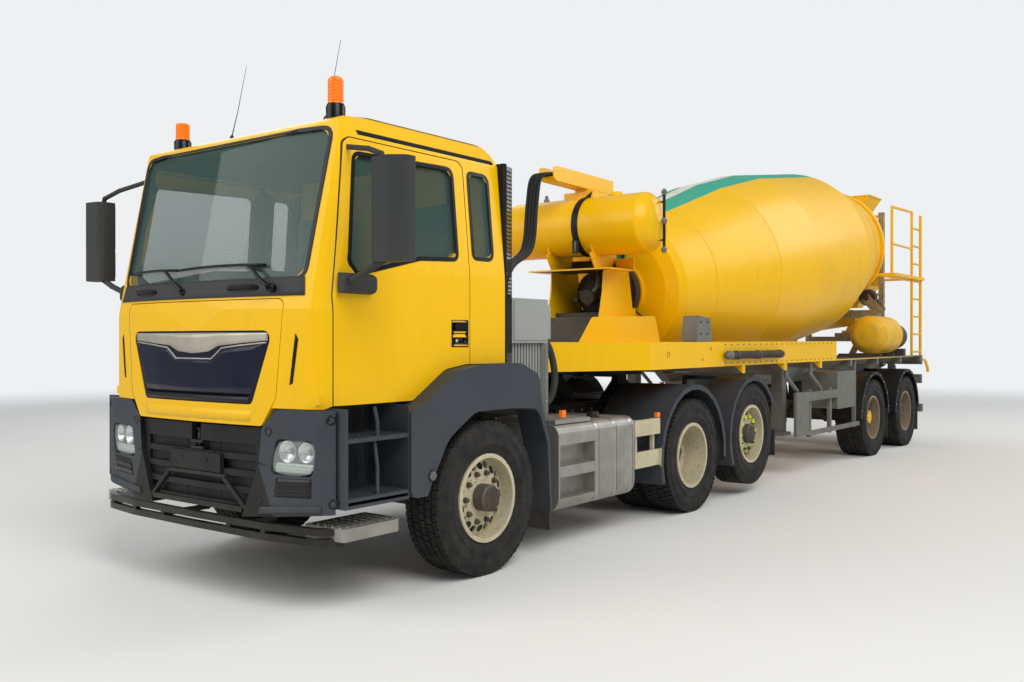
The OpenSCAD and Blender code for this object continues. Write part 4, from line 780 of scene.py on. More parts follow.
def tyre_mesh(width, lugs):
    """A tyre about +Z with its middle at z = 0: carcass with raised rings, and tread blocks."""
    sizes = bpy.context.scene.mixer_wheels
    depth, count = sizes.tread_depth, sizes.tread_rows
    w = width / 2
    shape = Shape()
    half = [(BEAD_R, 0.4 * width), (BEAD_R + 0.016, 0.4 * width), (0.33, 0.46 * width), (0.362, w - 0.003),
            (0.366, w - 0.0005), (0.372, w - 0.0005), (0.376, w - 0.003), (0.41, w - 0.001), (0.434, w - 0.001),
            (0.438, w), (0.446, w), (0.45, w - 0.003), (0.482, w - 0.010), (0.498, w - 0.018), (0.503, w - 0.017),
            (TYRE_R - depth - 0.001, w - 0.03)]
    shape.lathe(half + [(a, -b) for a, b in reversed(half)], (0, 0, 0), UP, 0, 96)
    ribs = 4 if lugs else 5
    span = width - 0.085
    pitch = span / (ribs - 1)
    block = (depth + 0.004, 2 * pi * TYRE_R / count * (0.74 if lugs else 0.86), pitch - 0.011)
    tread = grown("tread_blocks", Rows=count, Radius=TYRE_R - depth / 2 - 0.0044, Block=block, Ribs=ribs,
                  Start=(0.0, 0.0, -span / 2), Step=(0.0, 0.0, pitch))
    shape.join(tread, Matrix.Identity(4))
    for k in range(count):
        for m in (-1, 1):
            shoulder_lug(shape, 2 * pi * (k + 0.5) / count, m, w)
    return shape


def hub_matrix(x, y, z, side, turn=0.0):
    """Places a wheel made about +Z with its outer side along +Z."""
    return Matrix.Translation((x, y, z)) @ Matrix.Rotation(radians(-90 * side), 4, "X") @ Matrix.Rotation(turn, 4, "Z")


# kind, tyre's node, body, X from the front axle, Y, Z, width, side and the tyres' shifts along the hub
WHEELS = []
for _side, _s in (("l", 1), ("r", -1)):
    WHEELS += [
        ("front", "front_tyre_" + _side, "front_wheel_" + _side, 0.0, WHEEL_Y, TYRE_R, TYRE_WIDE, _s, [0.0]),
        ("drive", "drive_tyres_" + _side, "drive_wheels_" + _side, DRIVE_X, TWIN_Y, TYRE_R, TYRE_WIDE, _s,
         [-TWIN_SHIFT, TWIN_SHIFT]),
        ("tag", "tag_tyre_" + _side, "tag_wheel_" + _side, TAG_X, WHEEL_Y, LIFTED_Z, TYRE_WIDE, _s, [0.0])]
    for _i in (0, 1):
        WHEELS.append(("trailer", "trailer_tyre_%d%s" % (_i + 1, _side), "trailer_wheel_%d%s" % (_i + 1, _side),
                       PIN_X - AXLE_X + TRAILER_X + TRAILER_STEP * _i, TRAILER_Y, TYRE_R, TRAILER_WIDE, _s, [0.0]))


class MIXER_OT_tyres(bpy.types.Operator):
    """Puts treaded tyres in place of the plain ones"""
    bl_idname = "mixer.tyres"
    bl_label = "Tyres"

    def execute(self, context):
        finishes()
        made = {}
        for kind, cad, body, x, y, z, width, side, shifts in WHEELS:
            lugs = kind == "drive"
            if (width, lugs) not in made:
                made[(width, lugs)] = tyre_mesh(width, lugs)
            both = Shape()
            for n, shift in enumerate(shifts):
                # no two tyres stand at the same angle
                turn = 0.13 * (n + 1) + 0.4 * abs(x)
                place = hub_matrix(AXLE_X + x, side * y, z, side, turn)
                both.take(made[(width, lugs)], place @ Matrix.Translation((0, 0, shift)))
            obj = both.piece(cad + "_dressed", body, "tyre")
            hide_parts(cad)
        return {"FINISHED"}


class MIXER_OT_wheels(bpy.types.Operator):
    """Finishes the rims and adds nuts, valves and hub covers"""
    bl_idname = "mixer.wheels"
    bl_label = "Wheels"

    def execute(self, context):
        finishes()
        count = context.scene.mixer_wheels.nut_count
        ring = grown("bolt_ring", Count=count, Circle=NUT_CIRCLE, Head=0.0175, Height=0.024)
        # each kind: how far the rim's disc stands out, and the hub end's radius and length
        hubs = {"front": (0.074, 0.092, 0.095), "tag": (0.074, 0.100, 0.060), "trailer": (0.044, 0.105, 0.070),
                "drive": (0.014, 0.112, 0.121)}
        for kind, cad, body, x, y, z, _, side, _ in WHEELS:
            rim = cad.replace("tyres", "rims").replace("tyre", "rim")
            dress(rim, "brown" if kind == "trailer" else "cream",
                  [("oily", lambda p: hypot(p.x - AXLE_X - x, p.z - z) < 0.118)])
            front, nose, long = hubs[kind]
            place = hub_matrix(AXLE_X + x, side * y, z, side)

            def on_disc(r, a, out=0.0):
                """A point before the rim's disc: radius, angle and distance outward."""
                return place @ Vector((r * cos(a), r * sin(a), front + out))
            shape = Shape()
            shape.join(ring, place @ Matrix.Translation((0, 0, front + 0.012)))
            for k in range(count):
                a = 2 * pi * k / count
                foot, tip = on_disc(NUT_CIRCLE, a), on_disc(NUT_CIRCLE, a, 0.034)
                shape.rod(foot, foot.lerp(tip, 0.12), 0.021, 0, 16)
                shape.rod(foot, tip, 0.010, 0, 10)
                if kind == "tag":
                    # pointers that show a nut's turn
                    shape.tube([foot.lerp(tip, 0.5), on_disc(0.205, a + 0.16, 0.017)], [0.021, 0.005], 1, 8)
            if kind in ("front", "tag"):
                # hand holes of the rim's disc, drawn as black discs of painted shade where the openings are
                for k in range(HAND_HOLES):
                    start = on_disc(0.212, 2 * pi * (k + 0.5) / HAND_HOLES, 0.5)
                    spot, n, _, _ = surface_of((rim,)).ray_cast(start, Vector((0, -side, 0)))
                    hole = [(0.0275, -0.5), (0.0275, 0.25), (0.0235, 0.12), (0, 0.12)]
                    shape.lathe(hole, spot, spot + n * 0.008, 5, 20)
            # valve stem
            stem = ((0.245, -0.02), (0.235, 0.03), (0.225, 0.06))
            shape.tube([place @ Vector((v, 0.03, front + out)) for v, out in stem], 0.005, 2, 8)
            # hub end
            top = front + long
            cover = 3 if kind == "trailer" and "1" in cad else 4
            shape.lathe([(nose - 0.012, 0), (nose - 0.014, 0.8), (nose - 0.022, 1), (nose * 0.5, 1.05), (0, 1.05)],
                        place @ Vector((0, 0, top - 0.012)), place @ Vector((0, 0, top + 0.006)), cover, 32)
            small = grown("bolt_ring", Count=8, Circle=nose - 0.022, Head=0.006, Height=0.006)
            shape.join(small, place @ Matrix.Translation((0, 0, top + 0.008)))
            obj = shape.piece(cad + "_nuts", body, "oily indicator steel yellow black trim")
        return {"FINISHED"}


# ---------------------------------------------------------------- hoses

def hose_route(i):
    """Centre line of supply hose i, from the arm's channel down to the cabinet."""
    y = -0.054 + 0.036 * i
    end = 0.480 + 0.100 * i
    # the channel's floor rises 40 mm a metre
    rows = [(x, y, 3.1174 + 0.04 * (x + 0.390)) for x in (-0.260, 0.060, 0.500, 0.725)]
    rows += [(0.890, y + 0.010, 3.090), (0.990, y + 0.040, 2.820), (1.180, y + 0.130, 2.420),
             (1.700, y + 0.330, 2.230), (2.180, 0.440 + 0.080 * i, 2.090), (2.340, end, 2.010), (2.340, end, 1.955),
             (2.340, end, HOSE_END_Z)]
    return [at_pin(*p) for p in rows]


class MIXER_OT_hoses(bpy.types.Operator):
    """Four sleeved supply hoses with their ferrules"""
    bl_idname = "mixer.hoses"
    bl_label = "Hoses"

    def execute(self, context):
        finishes()
        r = context.scene.mixer_hoses.sleeve / 2
        for i in range(4):
            path = smooth_path(hose_route(i), 6)
            obj = Shape().tube(path, r, 0, 14).piece("supply_hose_%d" % (i + 1), "hose_arm", "rubber")
            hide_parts("supply_hoses")
            end = Shape()
            end.lathe([(r * 1.01, 0), (r * 1.1, 0.08), (r * 1.1, 0.85), (0.013, 1.0), (THIN, 1.0)],
                      path[-1] + UP * 0.075, path[-1] + UP * 0.001, 0, 16)
            ferrule = end.piece("hose_ferrule_%d" % (i + 1), "hose_arm", "steel")
        return {"FINISHED"}


# ---------------------------------------------------------------- stage

# the photograph's camera: its place from the front axle, the way it looks and its focal length in mm
EYE, LOOK, LENS = (5.098, 5.309, 1.598), (-0.795, -0.6065, -0.002), 33.92
# name, place, what it is aimed at, power in watts and width in metres
LIGHTS = (("key_light", (9, 11, 12), (2, 0, 1.5), 1500, 9), ("fill_light", (14, -5, 7), (3, 0, 1.5), 600, 9),
          ("back_light", (-12, 8, 10), (-3, 0, 2), 900, 9), ("far_light", (-4, -12, 9), (0, 0, 2), 500, 9))


def linked(name, data):
    """A new object in the scene."""
    obj = bpy.data.objects.new(name, data)
    bpy.context.scene.collection.objects.link(obj)
    return obj


class MIXER_OT_stage(bpy.types.Operator):
    """Camera at the photograph's angle, pale floor and soft studio light"""
    bl_idname = "mixer.stage"
    bl_label = "Stage"

    def execute(self, context):
        cam = bpy.data.cameras.new("photo_view")
        cam.sensor_width = 36
        cam.lens = LENS
        cam.clip_end = 200
        eye = linked("photo_view", cam)
        eye.location = at_axle(*EYE)
        eye.rotation_euler = Vector(LOOK).to_track_quat("-Z", "Y").to_euler()
        context.scene.camera = eye
        f = Finish("painted_studio_floor")
        tint = f.over(node(f.tree, "ShaderNodeMath", {0: f.cloud(2000), 1: 0.1}, operation="MULTIPLY").outputs[0],
                      linear("#e9e7e2"), linear("#e0ded8"))
        # the floor fades out between 11 m and 26 m from the truck's middle
        reach = node(f.tree, "ShaderNodeVectorMath", {0: f.where}, operation="LENGTH").outputs["Value"]
        fade = node(f.tree, "ShaderNodeMapRange", {"Value": reach, "From Min": 11.0, "From Max": 26.0,
                                                   "To Min": 1.0, "To Max": 0.0}, interpolation_type="SMOOTHSTEP")
        mat = f.set(Base_Color=tint, Roughness=0.9, Alpha=fade.outputs[0])
        mesh = bpy.data.meshes.new("floor")
        mesh.from_pydata([(-60, -60, 0), (60, -60, 0), (60, 60, 0), (-60, 60, 0)], [], [(0, 1, 2, 3)])
        mesh.materials.append(mat)
        linked("floor", mesh)
        world = bpy.data.worlds.new("studio")
        world.use_nodes = True
        tree = world.node_tree
        tree.nodes.clear()
        path = node(tree, "ShaderNodeLightPath").outputs
        seen = node(tree, "ShaderNodeMath", {0: path["Is Camera Ray"], 1: path["Is Transmission Ray"]},
                    operation="MAXIMUM").outputs[0]
        dim = node(tree, "ShaderNodeBackground", {"Color": linear("#dfe6ee"), "Strength": 0.42})
        pale = node(tree, "ShaderNodeBackground", {"Color": linear("#eef0f2"), "Strength": 1.0})
        both = node(tree, "ShaderNodeMixShader", {0: seen, 1: dim.outputs[0], 2: pale.outputs[0]})
        node(tree, "ShaderNodeOutputWorld", {"Surface": both.outputs[0]})
        context.scene.world = world
        for name, place, aim, power, size in LIGHTS:
            lamp = bpy.data.lights.new(name, "AREA")
            lamp.energy = power
            lamp.size = size
            obj = linked(name, lamp)
            obj.location = place
            obj.rotation_euler = (Vector(aim) - Vector(place)).to_track_quat("-Z", "Y").to_euler()
        context.scene.view_settings.view_transform = "Standard"
        return {"FINISHED"}


def dress(name, finish, rules=()):
    """Gives a solid its finish, and another where a rule holds at a face's middle."""
    mesh = frame["nodes"][name].data
    mesh.materials.clear()
    for m in (finish,) + tuple(m for m, _ in rules):
        mesh.materials.append(M[m])
    for face in mesh.polygons:
        face.material_index = 0
        for k, (_, rule) in enumerate(rules):
            if rule(face.center):
                face.material_index = k + 1


def on_gearbox(p):
    """Whether a point of the pedestal belongs to the gearbox or to its motor."""
    away = p - DRUM_FOOT
    s = away.dot(DRUM_AXIS)
    r = (away - DRUM_AXIS * s).length
    return s < -0.095 and r < 0.33 and (abs(p.y) < 0.2995 or p.x < PIN_X - 0.42)


def on_side_boards(p):
    """Whether a point of the rear mudguards belongs to the boards before the drive wheels."""
    x = p.x - AXLE_X
    return 0.85 < p.z < 0.911 and -2.40 < x < -1.95 or 0.5 < p.z < 0.911 and abs(p.y) > 1.16 and -2.395 < x < -1.955


def on_tank_strap(p):
    """Whether a point of the water tank belongs to its end ring or its strap."""
    return p.y > 0.905 or 0.074 < p.y < 0.146 and hypot(p.x - PIN_X - 0.1, p.z - 2.71) > 0.2895


def on_rollers(p):
    """Whether a point of the cradle belongs to its rollers."""
    return (p - DRUM_FOOT).dot(DRUM_AXIS) > 6.28 and p.z > 2.2 and abs(p.y) < 0.9 and p.x > PIN_X - 7.6


class MIXER_OT_paint(bpy.types.Operator):
    """Gives every solid that stays its finish"""
    bl_idname = "mixer.paint"
    bl_label = "Paint"

    def execute(self, context):
        finishes()
        plan = {
            "yellow": ["cab_shell", "door_l", "door_r", "front_flap", "ladder", "hose_arm"],
            "yellow_low": ["hopper", "chute", "chute_swivel"],
            "drum": ["drum"], "oily": ["engine"], "zinc": ["trailer_guards"], "navy": ["grille"],
            "black": ["tractor_frame", "axles", "fifth_wheel", "knuckle_l", "knuckle_r", "trailer_axles"],
            "glass": ["cab_glass", "door_glass_l", "door_glass_r"], "slate": ["bumper", "cab_fenders"],
            "black_plastic": ["air_intake", "trailer_mudguards"], "cowl": ["mirror_l", "mirror_r"],
        }
        for finish, names in plan.items():
            for name in names:
                dress(name, finish)
        # whatever faces another wall of the cab is lined in dark grey: inside the cab that is its real lining, while
        # in the door gaps and the handle recesses it is painted shade
        walls = ("cab_shell", "door_l", "door_r")
        for name in walls:
            mesh = frame["nodes"][name].data
            mesh.materials.append(M["cockpit_and_gap_shade"])
            for face in mesh.polygons:
                if surface_of(walls).ray_cast(face.center + face.normal * 0.004, face.normal, 2.7)[0]:
                    face.material_index = 1
        dress("bumper", "slate", [("black_plastic", lambda p: abs(p.y) < 0.66 and p.x < AXLE_X + 1.47)])
        dress("cab_interior", "cockpit_and_gap_shade", [("seat", lambda p: p.x < AXLE_X + 0.5)])
        dress("underrun_bar", "black_bar",
              [("aluminium", lambda p: abs(p.y) > 0.9 and p.z > 0.4395 and p.x < AXLE_X + 1.331)])
        dress("rear_mudguards", "slate", [("cream", on_side_boards)])
        dress("side_tanks", "aluminium", [("black", lambda p: p.y < 0)])
        dress("hydraulic_cabinet", "grey", [("black_plastic", lambda p: p.x < AXLE_X - 0.9605)])
        dress("water_tank", "yellow", [("black", on_tank_strap)])
        dress("drum_pedestal", "yellow", [("oily", on_gearbox)])
        dress("trailer_frame", "yellow",
              [("zinc", lambda p: p.z < 1.3305 and not abs(p.y) > 1.1 or p.x < PIN_X - 3.86)])
        dress("drum_cradle", "rust", [("oily", on_rollers)])
        dress("rear_tank", "yellow_low", [("oily", lambda p: p.x < PIN_X - 6.985 or p.z < 1.384)])
        return {"FINISHED"}


class MIXER_OT_cab_trim(bpy.types.Operator):
    """Seals, wipers, handles, intake plate, roof seams and antennas on the cab"""
    bl_idname = "mixer.cab_trim"
    bl_label = "Cab trim"

    def execute(self, context):
        finishes()
        sizes = context.scene.mixer_cab
        half = sizes.seal / 2
        screen = Shape()
        edge = rounded([(-0.937, 1.953, 0.08), (0.937, 1.953, 0.08), (0.962, 2.867, 0.07), (-0.962, 2.867, 0.07)])
        screen.ribbon(*lay_front(spaced(edge, 0.06), FRONT_SHELL), half, 0.005, 0, True)
        # cowl under the windscreen, with its slanted ends
        cowl = [(-0.958, 1.853), (0.958, 1.853), (0.938, 1.962), (-0.938, 1.962)]
        screen.patch(cowl, 44, 4, 0.006, lay_front, 1)
        whole = FRONT_SHELL + ("cab_glass",)
        for y, end in ((0.72, -0.20), (-0.13, -0.86)):
            (spot,), (out,) = lay_front([(y, 1.895)])
            screen.rod(spot, behind(spot + out * 0.045, 0.016), 0.026, 0, 20)
            arm = [(y, 1.895), (y - 0.10, 1.960), (y - 0.22, 2.035), ((y + end) / 2, 2.044)]
            heights = (0.045, 0.050, 0.040, 0.026)
            arm = [behind(a + b * h, 0.016) for a, b, h in zip(*lay_front(arm, whole), heights)]
            arm = smooth_path(arm, 4)
            screen.tube(arm, [0.015 - 0.0006 * k for k in range(len(arm))], 0, 8)
            blade = [(y - 0.10 + (end - y + 0.10) * k / 12, 2.040 + 0.010 * sin(pi * k / 12)) for k in range(13)]
            spots, normals = lay_front(blade, whole)
            for high, r in ((0.020, 0.009), (0.007, 0.005)):
                screen.tube([a + b * high for a, b in zip(spots, normals)], r, 0, 6)
        # grab handles on the cowl
        for y in (0.46, -0.58):
            spots, n = lay_front([(y - 0.13, 1.905), (y - 0.09, 1.907), (y + 0.09, 1.907), (y + 0.13, 1.905)])
            for k in (1, 2):
                spots[k] = behind(spots[k] + n[k] * 0.03, 0.014)
            screen.tube(spots, 0.013, 2, 8)
        screen.piece("windscreen_trim", "tractor", "trim cowl black_plastic", recalc=True)
        strip = Shape()
        strip.ribbon(*lay_side([(1.04 - 1.30 * k / 16, 2.845) for k in range(17)]), 0.017, 0.006)
        quarter = rounded([(-0.187, 2.148, 0.06), (-0.187, 2.737, 0.06), (0.027, 2.737, 0.04), (0.027, 2.148, 0.04)])
        strip.ribbon(*lay_side(spaced(quarter, 0.05)), half, 0.004, 0, True)
        # slanted slots beside the grille, drawn as dark patches of painted shade
        strip.patch([(0.862, 1.33), (0.885, 1.34), (0.925, 1.60), (0.905, 1.63)], 2, 8, 0.003, lay_front)
        strip.mirrored()
        strip.piece("cab_side_trim", "tractor", "trim", recalc=True)
        # perforated plate down the air intake: upright strips, with bars between them above a plain foot
        plate = Shape()
        front, back = at_axle(-0.326, 1.116, 0), at_axle(-0.436, 1.086, 0)
        low, pitch, rows, plain = 1.50, 0.0286, 46, 12

        def panel(a, b, z0, z1, thick):
            plate.prism([a + UP * z0, b + UP * z0, b + UP * z1, a + UP * z1], (0, -thick, 0))
        for k in range(6):
            panel(front.lerp(back, k / 5.4), front.lerp(back, k / 5.4 + 0.075), low, 2.83, 0.003)
        panel(front, back, low, low + 0.42, 0.002)
        for k in range(plain, rows):
            z = low + pitch * k
            panel(front, back, z, z + 0.011, 0.002)
        plate.piece("intake_plate", "tractor", "black_plastic", recalc=True)
        mast = Shape()
        for y in (0.66, -0.30):
            foot, _ = self.roof(0.95, y)
            mast.lathe([(0.022, 0), (0.016, 0.6), (0.006, 1)], foot, foot + UP * 0.05, 0, 16)
            lean = Vector((-0.10, 0.03, sizes.antenna))
            mast.tube([foot + UP * 0.04, foot + lean * 0.4, foot + lean], [0.004, 0.0025, 0.0015], 0, 6)
        mast.piece("antennas", "tractor", "rubber")
        roof = Shape()
        for y in (-0.93, 0.93):
            pts = [self.roof(1.05 - 1.3 * k / 20, y)[0] for k in range(21)]
            roof.ribbon(pts, [UP] * len(pts), 0.006, 0.003)
        across = [self.roof(1.055, -0.92 + 1.84 * k / 30) for k in range(31)]
        roof.ribbon([p for p, _ in across], [n for _, n in across], 0.005, 0.003)
        roof.piece("roof_seams", "tractor", "black_plastic", recalc=True)
        return {"FINISHED"}

    def roof(self, x, y):
        """A point of the roof and its normal."""
        return surface_of(("cab_shell",)).ray_cast(at_axle(x, y, 4), -UP)[:2]


class MIXER_OT_doors(bpy.types.Operator):
    """Window seals, handles, locks and mirror faces"""
    bl_idname = "mixer.doors"
    bl_label = "Doors and mirrors"

    def execute(self, context):
        finishes()
        half = context.scene.mixer_cab.seal / 2
        for side, body in ((1, "door_l"), (-1, "door_r")):
            trim = Shape()
            edge = rounded([(0.193, 2.128, 0.05), (0.193, 2.737, 0.06), (1.087, 2.712, 0.06), (1.177, 2.05, 0.04),
                            (1.11, 1.985, 0.04), (0.56, 2.111, 0.2)])
            trim.ribbon(*lay_side(spaced(edge, 0.05)), half, 0.004, 0, True)
            # handle: a frame round the recess, its dark floor, a flap over it and the lock below
            border = [(0.095, 1.545), (0.267, 1.545), (0.267, 1.725), (0.095, 1.725)]
            trim.patch(border, 6, 6, 0.003, lay_side, hole=True)
            floor = [(0.117, 1.567), (0.245, 1.567), (0.245, 1.703), (0.117, 1.703)]
            trim.patch(floor, 4, 4, 0.001, partial(lay_side, nodes=("door_l",)), thick=0.002)
            skin = 1.121
            trim.box(at_axle(0.118, skin, 1.662), at_axle(0.244, skin + 0.014, 1.705))
            trim.rod(at_axle(0.215, skin - 0.008, 1.585), at_axle(0.215, skin + 0.004, 1.585), 0.013, 1, 20)
            # mirror faces look back, in their housing
            glass = Shape()
            for low, high in ((2.27, 2.585), (2.06, 2.24)):
                glass.box(at_axle(1.1615, 1.42, low), at_axle(1.1645, 1.63, high))
            if side < 0:
                for s in (trim, glass):
                    s.flipped()
            trim.piece("door_trim_" + body[-1], body, "trim steel", recalc=True)
            glass.piece("mirror_glass_" + body[-1], body, "chrome", recalc=True)
        return {"FINISHED"}


class MIXER_OT_flap(bpy.types.Operator):
    """Bright plate, gloss panel, mesh and slot cover of the front flap"""
    bl_idname = "mixer.flap"
    bl_label = "Front flap"

    def execute(self, context):
        finishes()
        bar = Shape()
        lip = 1.628     # the grille's upper edge

        def over_slots(points):
            """The grille's outer face, bridging its slots."""
            spots = []
            for y, z in points:
                seen, _ = lay_front([(y, min(lip, z + 0.008 * k)) for k in range(-4, 5)], ("grille",))
                # of nearly equal hits the nearest counts
                best = max(range(9), key=lambda k: seen[k].x - 0.0004 * abs(k - 4))
                spots.append(Vector((seen[best].x, y, z)))
            return spots, [Vector((1, 0, 0.05)).normalized()] * len(spots)

        def even(half):
            """A line from its right half, mirrored to the other side."""
            return [(-y, z) for y, z in half] + half[::-1]
        # bright plate along the top, deeper in its middle, and the bright line under it
        low = even([(0.690, 1.590), (0.450, 1.572), (0.255, 1.557), (0.160, 1.521), (0.0, 1.508)])
        bar.sheet(between(low, even([(0.688, 1.637)]), 64, 4), 64, 4, 0.0035, over_slots, thick=0.016)
        line = even([(0.682, 1.578), (0.45, 1.560), (0.285, 1.543), (0.185, 1.476)])
        spots, normals = over_slots(spaced([Vector(p) for p in line], 0.03, False))
        bar.tube([p - n * 0.001 for p, n in zip(spots, normals)], 0.005, 0, 8)
        # gloss panel under the line, and the perforated field in its middle
        high = even([(0.672, 1.576), (0.45, 1.558), (0.285, 1.541), (0.185, 1.472)])
        low = even([(0.672, 1.565), (0.554, 1.270)])
        bar.sheet(between(low, high, 68, 8), 68, 8, 0.0006, over_slots, 1, thick=0.008)
        field = [(-0.175, 1.480), (0.175, 1.480), (0.275, 1.552), (-0.275, 1.552)]
        bar.patch(field, 52, 10, -0.004, over_slots, 2, thick=0.006, wave=0.003)
        # a dark strip under the gloss panel stands in for the slot there, as painted shade
        foot = [(-0.545, 1.212), (0.545, 1.212), (0.552, 1.262), (-0.552, 1.262)]
        bar.patch(foot, 30, 2, 0.001, partial(lay_front, nodes=("grille", "front_flap")), 2)
        bar.piece("grille_bar", "front_flap", "silver navy trim", recalc=True)
        mesh = Shape()
        x = AXLE_X + 1.415
        for k in range(58):
            y = -0.70 + 1.40 * k / 57
            low = 1.215 + max(0, abs(y) - 0.55) * 2.4
            mesh.box((x, y - 0.002, low), (x + 0.003, y + 0.002, 1.63))
        mesh.piece("grille_mesh", "front_flap", "trim")
        cover = Shape()

        def over_flap(points):
            """The flap's outer face, bridging its slot from the rows above and below it."""
            spots = []
            for y, z in points:
                (a, b), _ = lay_front([(y, 1.095), (y, 1.180)], ("front_flap",))
                spots.append(behind(a.lerp(b, (z - 1.095) / 0.085), 0.0004))
            return spots, [Vector((1, 0, 0))] * len(spots)
        slot = [(-0.545, 1.100), (0.545, 1.100), (0.565, 1.172), (-0.565, 1.172)]
        cover.patch(slot, 40, 2, 0.0003, over_flap, thick=0.004)
        cover.piece("flap_cover", "front_flap", "yellow", recalc=True)
        return {"FINISHED"}


def over_gaps(points):
    """The bumper's outer face, bridging its fog lamp slots."""
    tree = surface_of(("bumper",))
    hits = [highest_front(tree, y, z, 0.009) for y, z in points]
    return [Vector((hit[0].x, y, z)) for hit, (y, z) in zip(hits, points)], [hit[1] for hit in hits]


class MIXER_OT_bumper(bpy.types.Operator):
    """Bolts, plate holder, towing pin, tube frame and step of the bumper"""
    bl_idname = "mixer.bumper_trim"
    bl_label = "Bumper trim"

    def execute(self, context):
        finishes()
        trim = Shape()
        bolt = grown("bolt_ring", Count=1, Circle=0.0, Head=0.0085, Height=0.008)
        for y, z in ((0.70, 1.05), (1.155, 1.135), (0.625, 0.645), (1.165, 0.655)):
            (spot,), (n,) = lay_front([(y, z)], ("bumper",))
            cup = [(0.030, -0.3), (0.030, 0.12), (0.019, 0.22), (0.017, -0.2), (0, -0.2)]
            trim.lathe(cup, spot, spot + n * 0.01, 2, 24)
            trim.join(bolt, Matrix.Translation(spot) @ n.to_track_quat("Z", "Y").to_matrix().to_4x4())
        # ribs between the bars of the open middle
        for y in (0.33, 0.46):
            trim.box(at_axle(1.36, y - 0.006, 0.60), at_axle(1.375, y + 0.006, 1.0), 1)
        # fog lamp's recess with its two slats, and the moulded lip along the bottom
        recess = [(0.742, 0.668), (1.030, 0.680), (1.034, 0.790), (0.760, 0.778)]
        trim.patch(recess, 12, 4, 0.0015, over_gaps, 2, thick=0.004)
        for z in (0.700, 0.737):
            slat = [(0.770, z), (1.012, z + 0.010), (1.012, z + 0.022), (0.770, z + 0.012)]
            trim.patch(slat, 12, 1, 0.006, over_gaps, 1, thick=0.008)
        lip = [(0.62, 0.556), (1.10, 0.602), (1.10, 0.640), (0.64, 0.600)]
        trim.patch(lip, 18, 3, 0.010, partial(lay_front, nodes=("bumper",)), 3, thick=0.013)
        trim.mirrored()
        trim.piece("bumper_bolts", "tractor", "oily black_plastic trim slate", recalc=True)
        plate = Shape()
        x = AXLE_X + 1.453
        corners = ((-0.262, 0.772), (0.262, 0.772), (0.262, 0.888), (-0.262, 0.888))
        outline = rounded([(y, z, 0.012) for y, z in corners])
        plate.prism([Vector((x, p.x, p.y)) for p in outline], (0.004, 0, 0))
        for y in (-0.13, 0.13):
            screw = [(0.0, 0), (0.011, 0), (0.011, 1), (0.007, 1), (0.007, 0.3), (0, 0.3)]
            plate.lathe(screw, (x + 0.003, y, 0.845), (x + 0.008, y, 0.845), 1, 16)
        plate.piece("plate_holder_face", "tractor", "black_plastic trim")
        # towing pin with its bent grip
        tow = Shape()
        x, z = AXLE_X + 1.41, 0.931
        tow.rod((x, 0, z - 0.03), (x, 0, z + 0.085), 0.0195, 0, 24)
        tow.tube([(x, 0, z + 0.08), (x, 0.02, z + 0.10), (x, 0.05, z + 0.105), (x, 0.13, z + 0.105)], 0.010)
        tow.tube([(x, 0, z + 0.08), (x, -0.02, z + 0.098), (x, -0.05, z + 0.10)], 0.010)
        tow.piece("towing_pin", "tractor", "black_bar")
        # tube frame and step before the bumper
        step = Shape()
        x, top = AXLE_X + 1.445, 0.585
        bend = [(x - 0.01, 0.50, 0.565), (x, 0.30, 0.735), (x, 0.26, 0.752)]
        path = [(a, -b, c) for a, b, c in bend] + bend[::-1]
        step.tube(smooth_path(path, 5), 0.016, 0, 12)
        step.box((x - 0.10, -0.47, top - 0.035), (x + 0.008, 0.47, top - 0.002))
        studs = grown("stud_grid", Long=0.07, Wide=0.86, Columns=3, Rows=26, Radius=0.010, Height=0.005)
        step.join(studs, Matrix.Translation((x - 0.045, 0, top)), 1)
        step.piece("front_step", "tractor", "black_bar black_plastic")
        return {"FINISHED"}


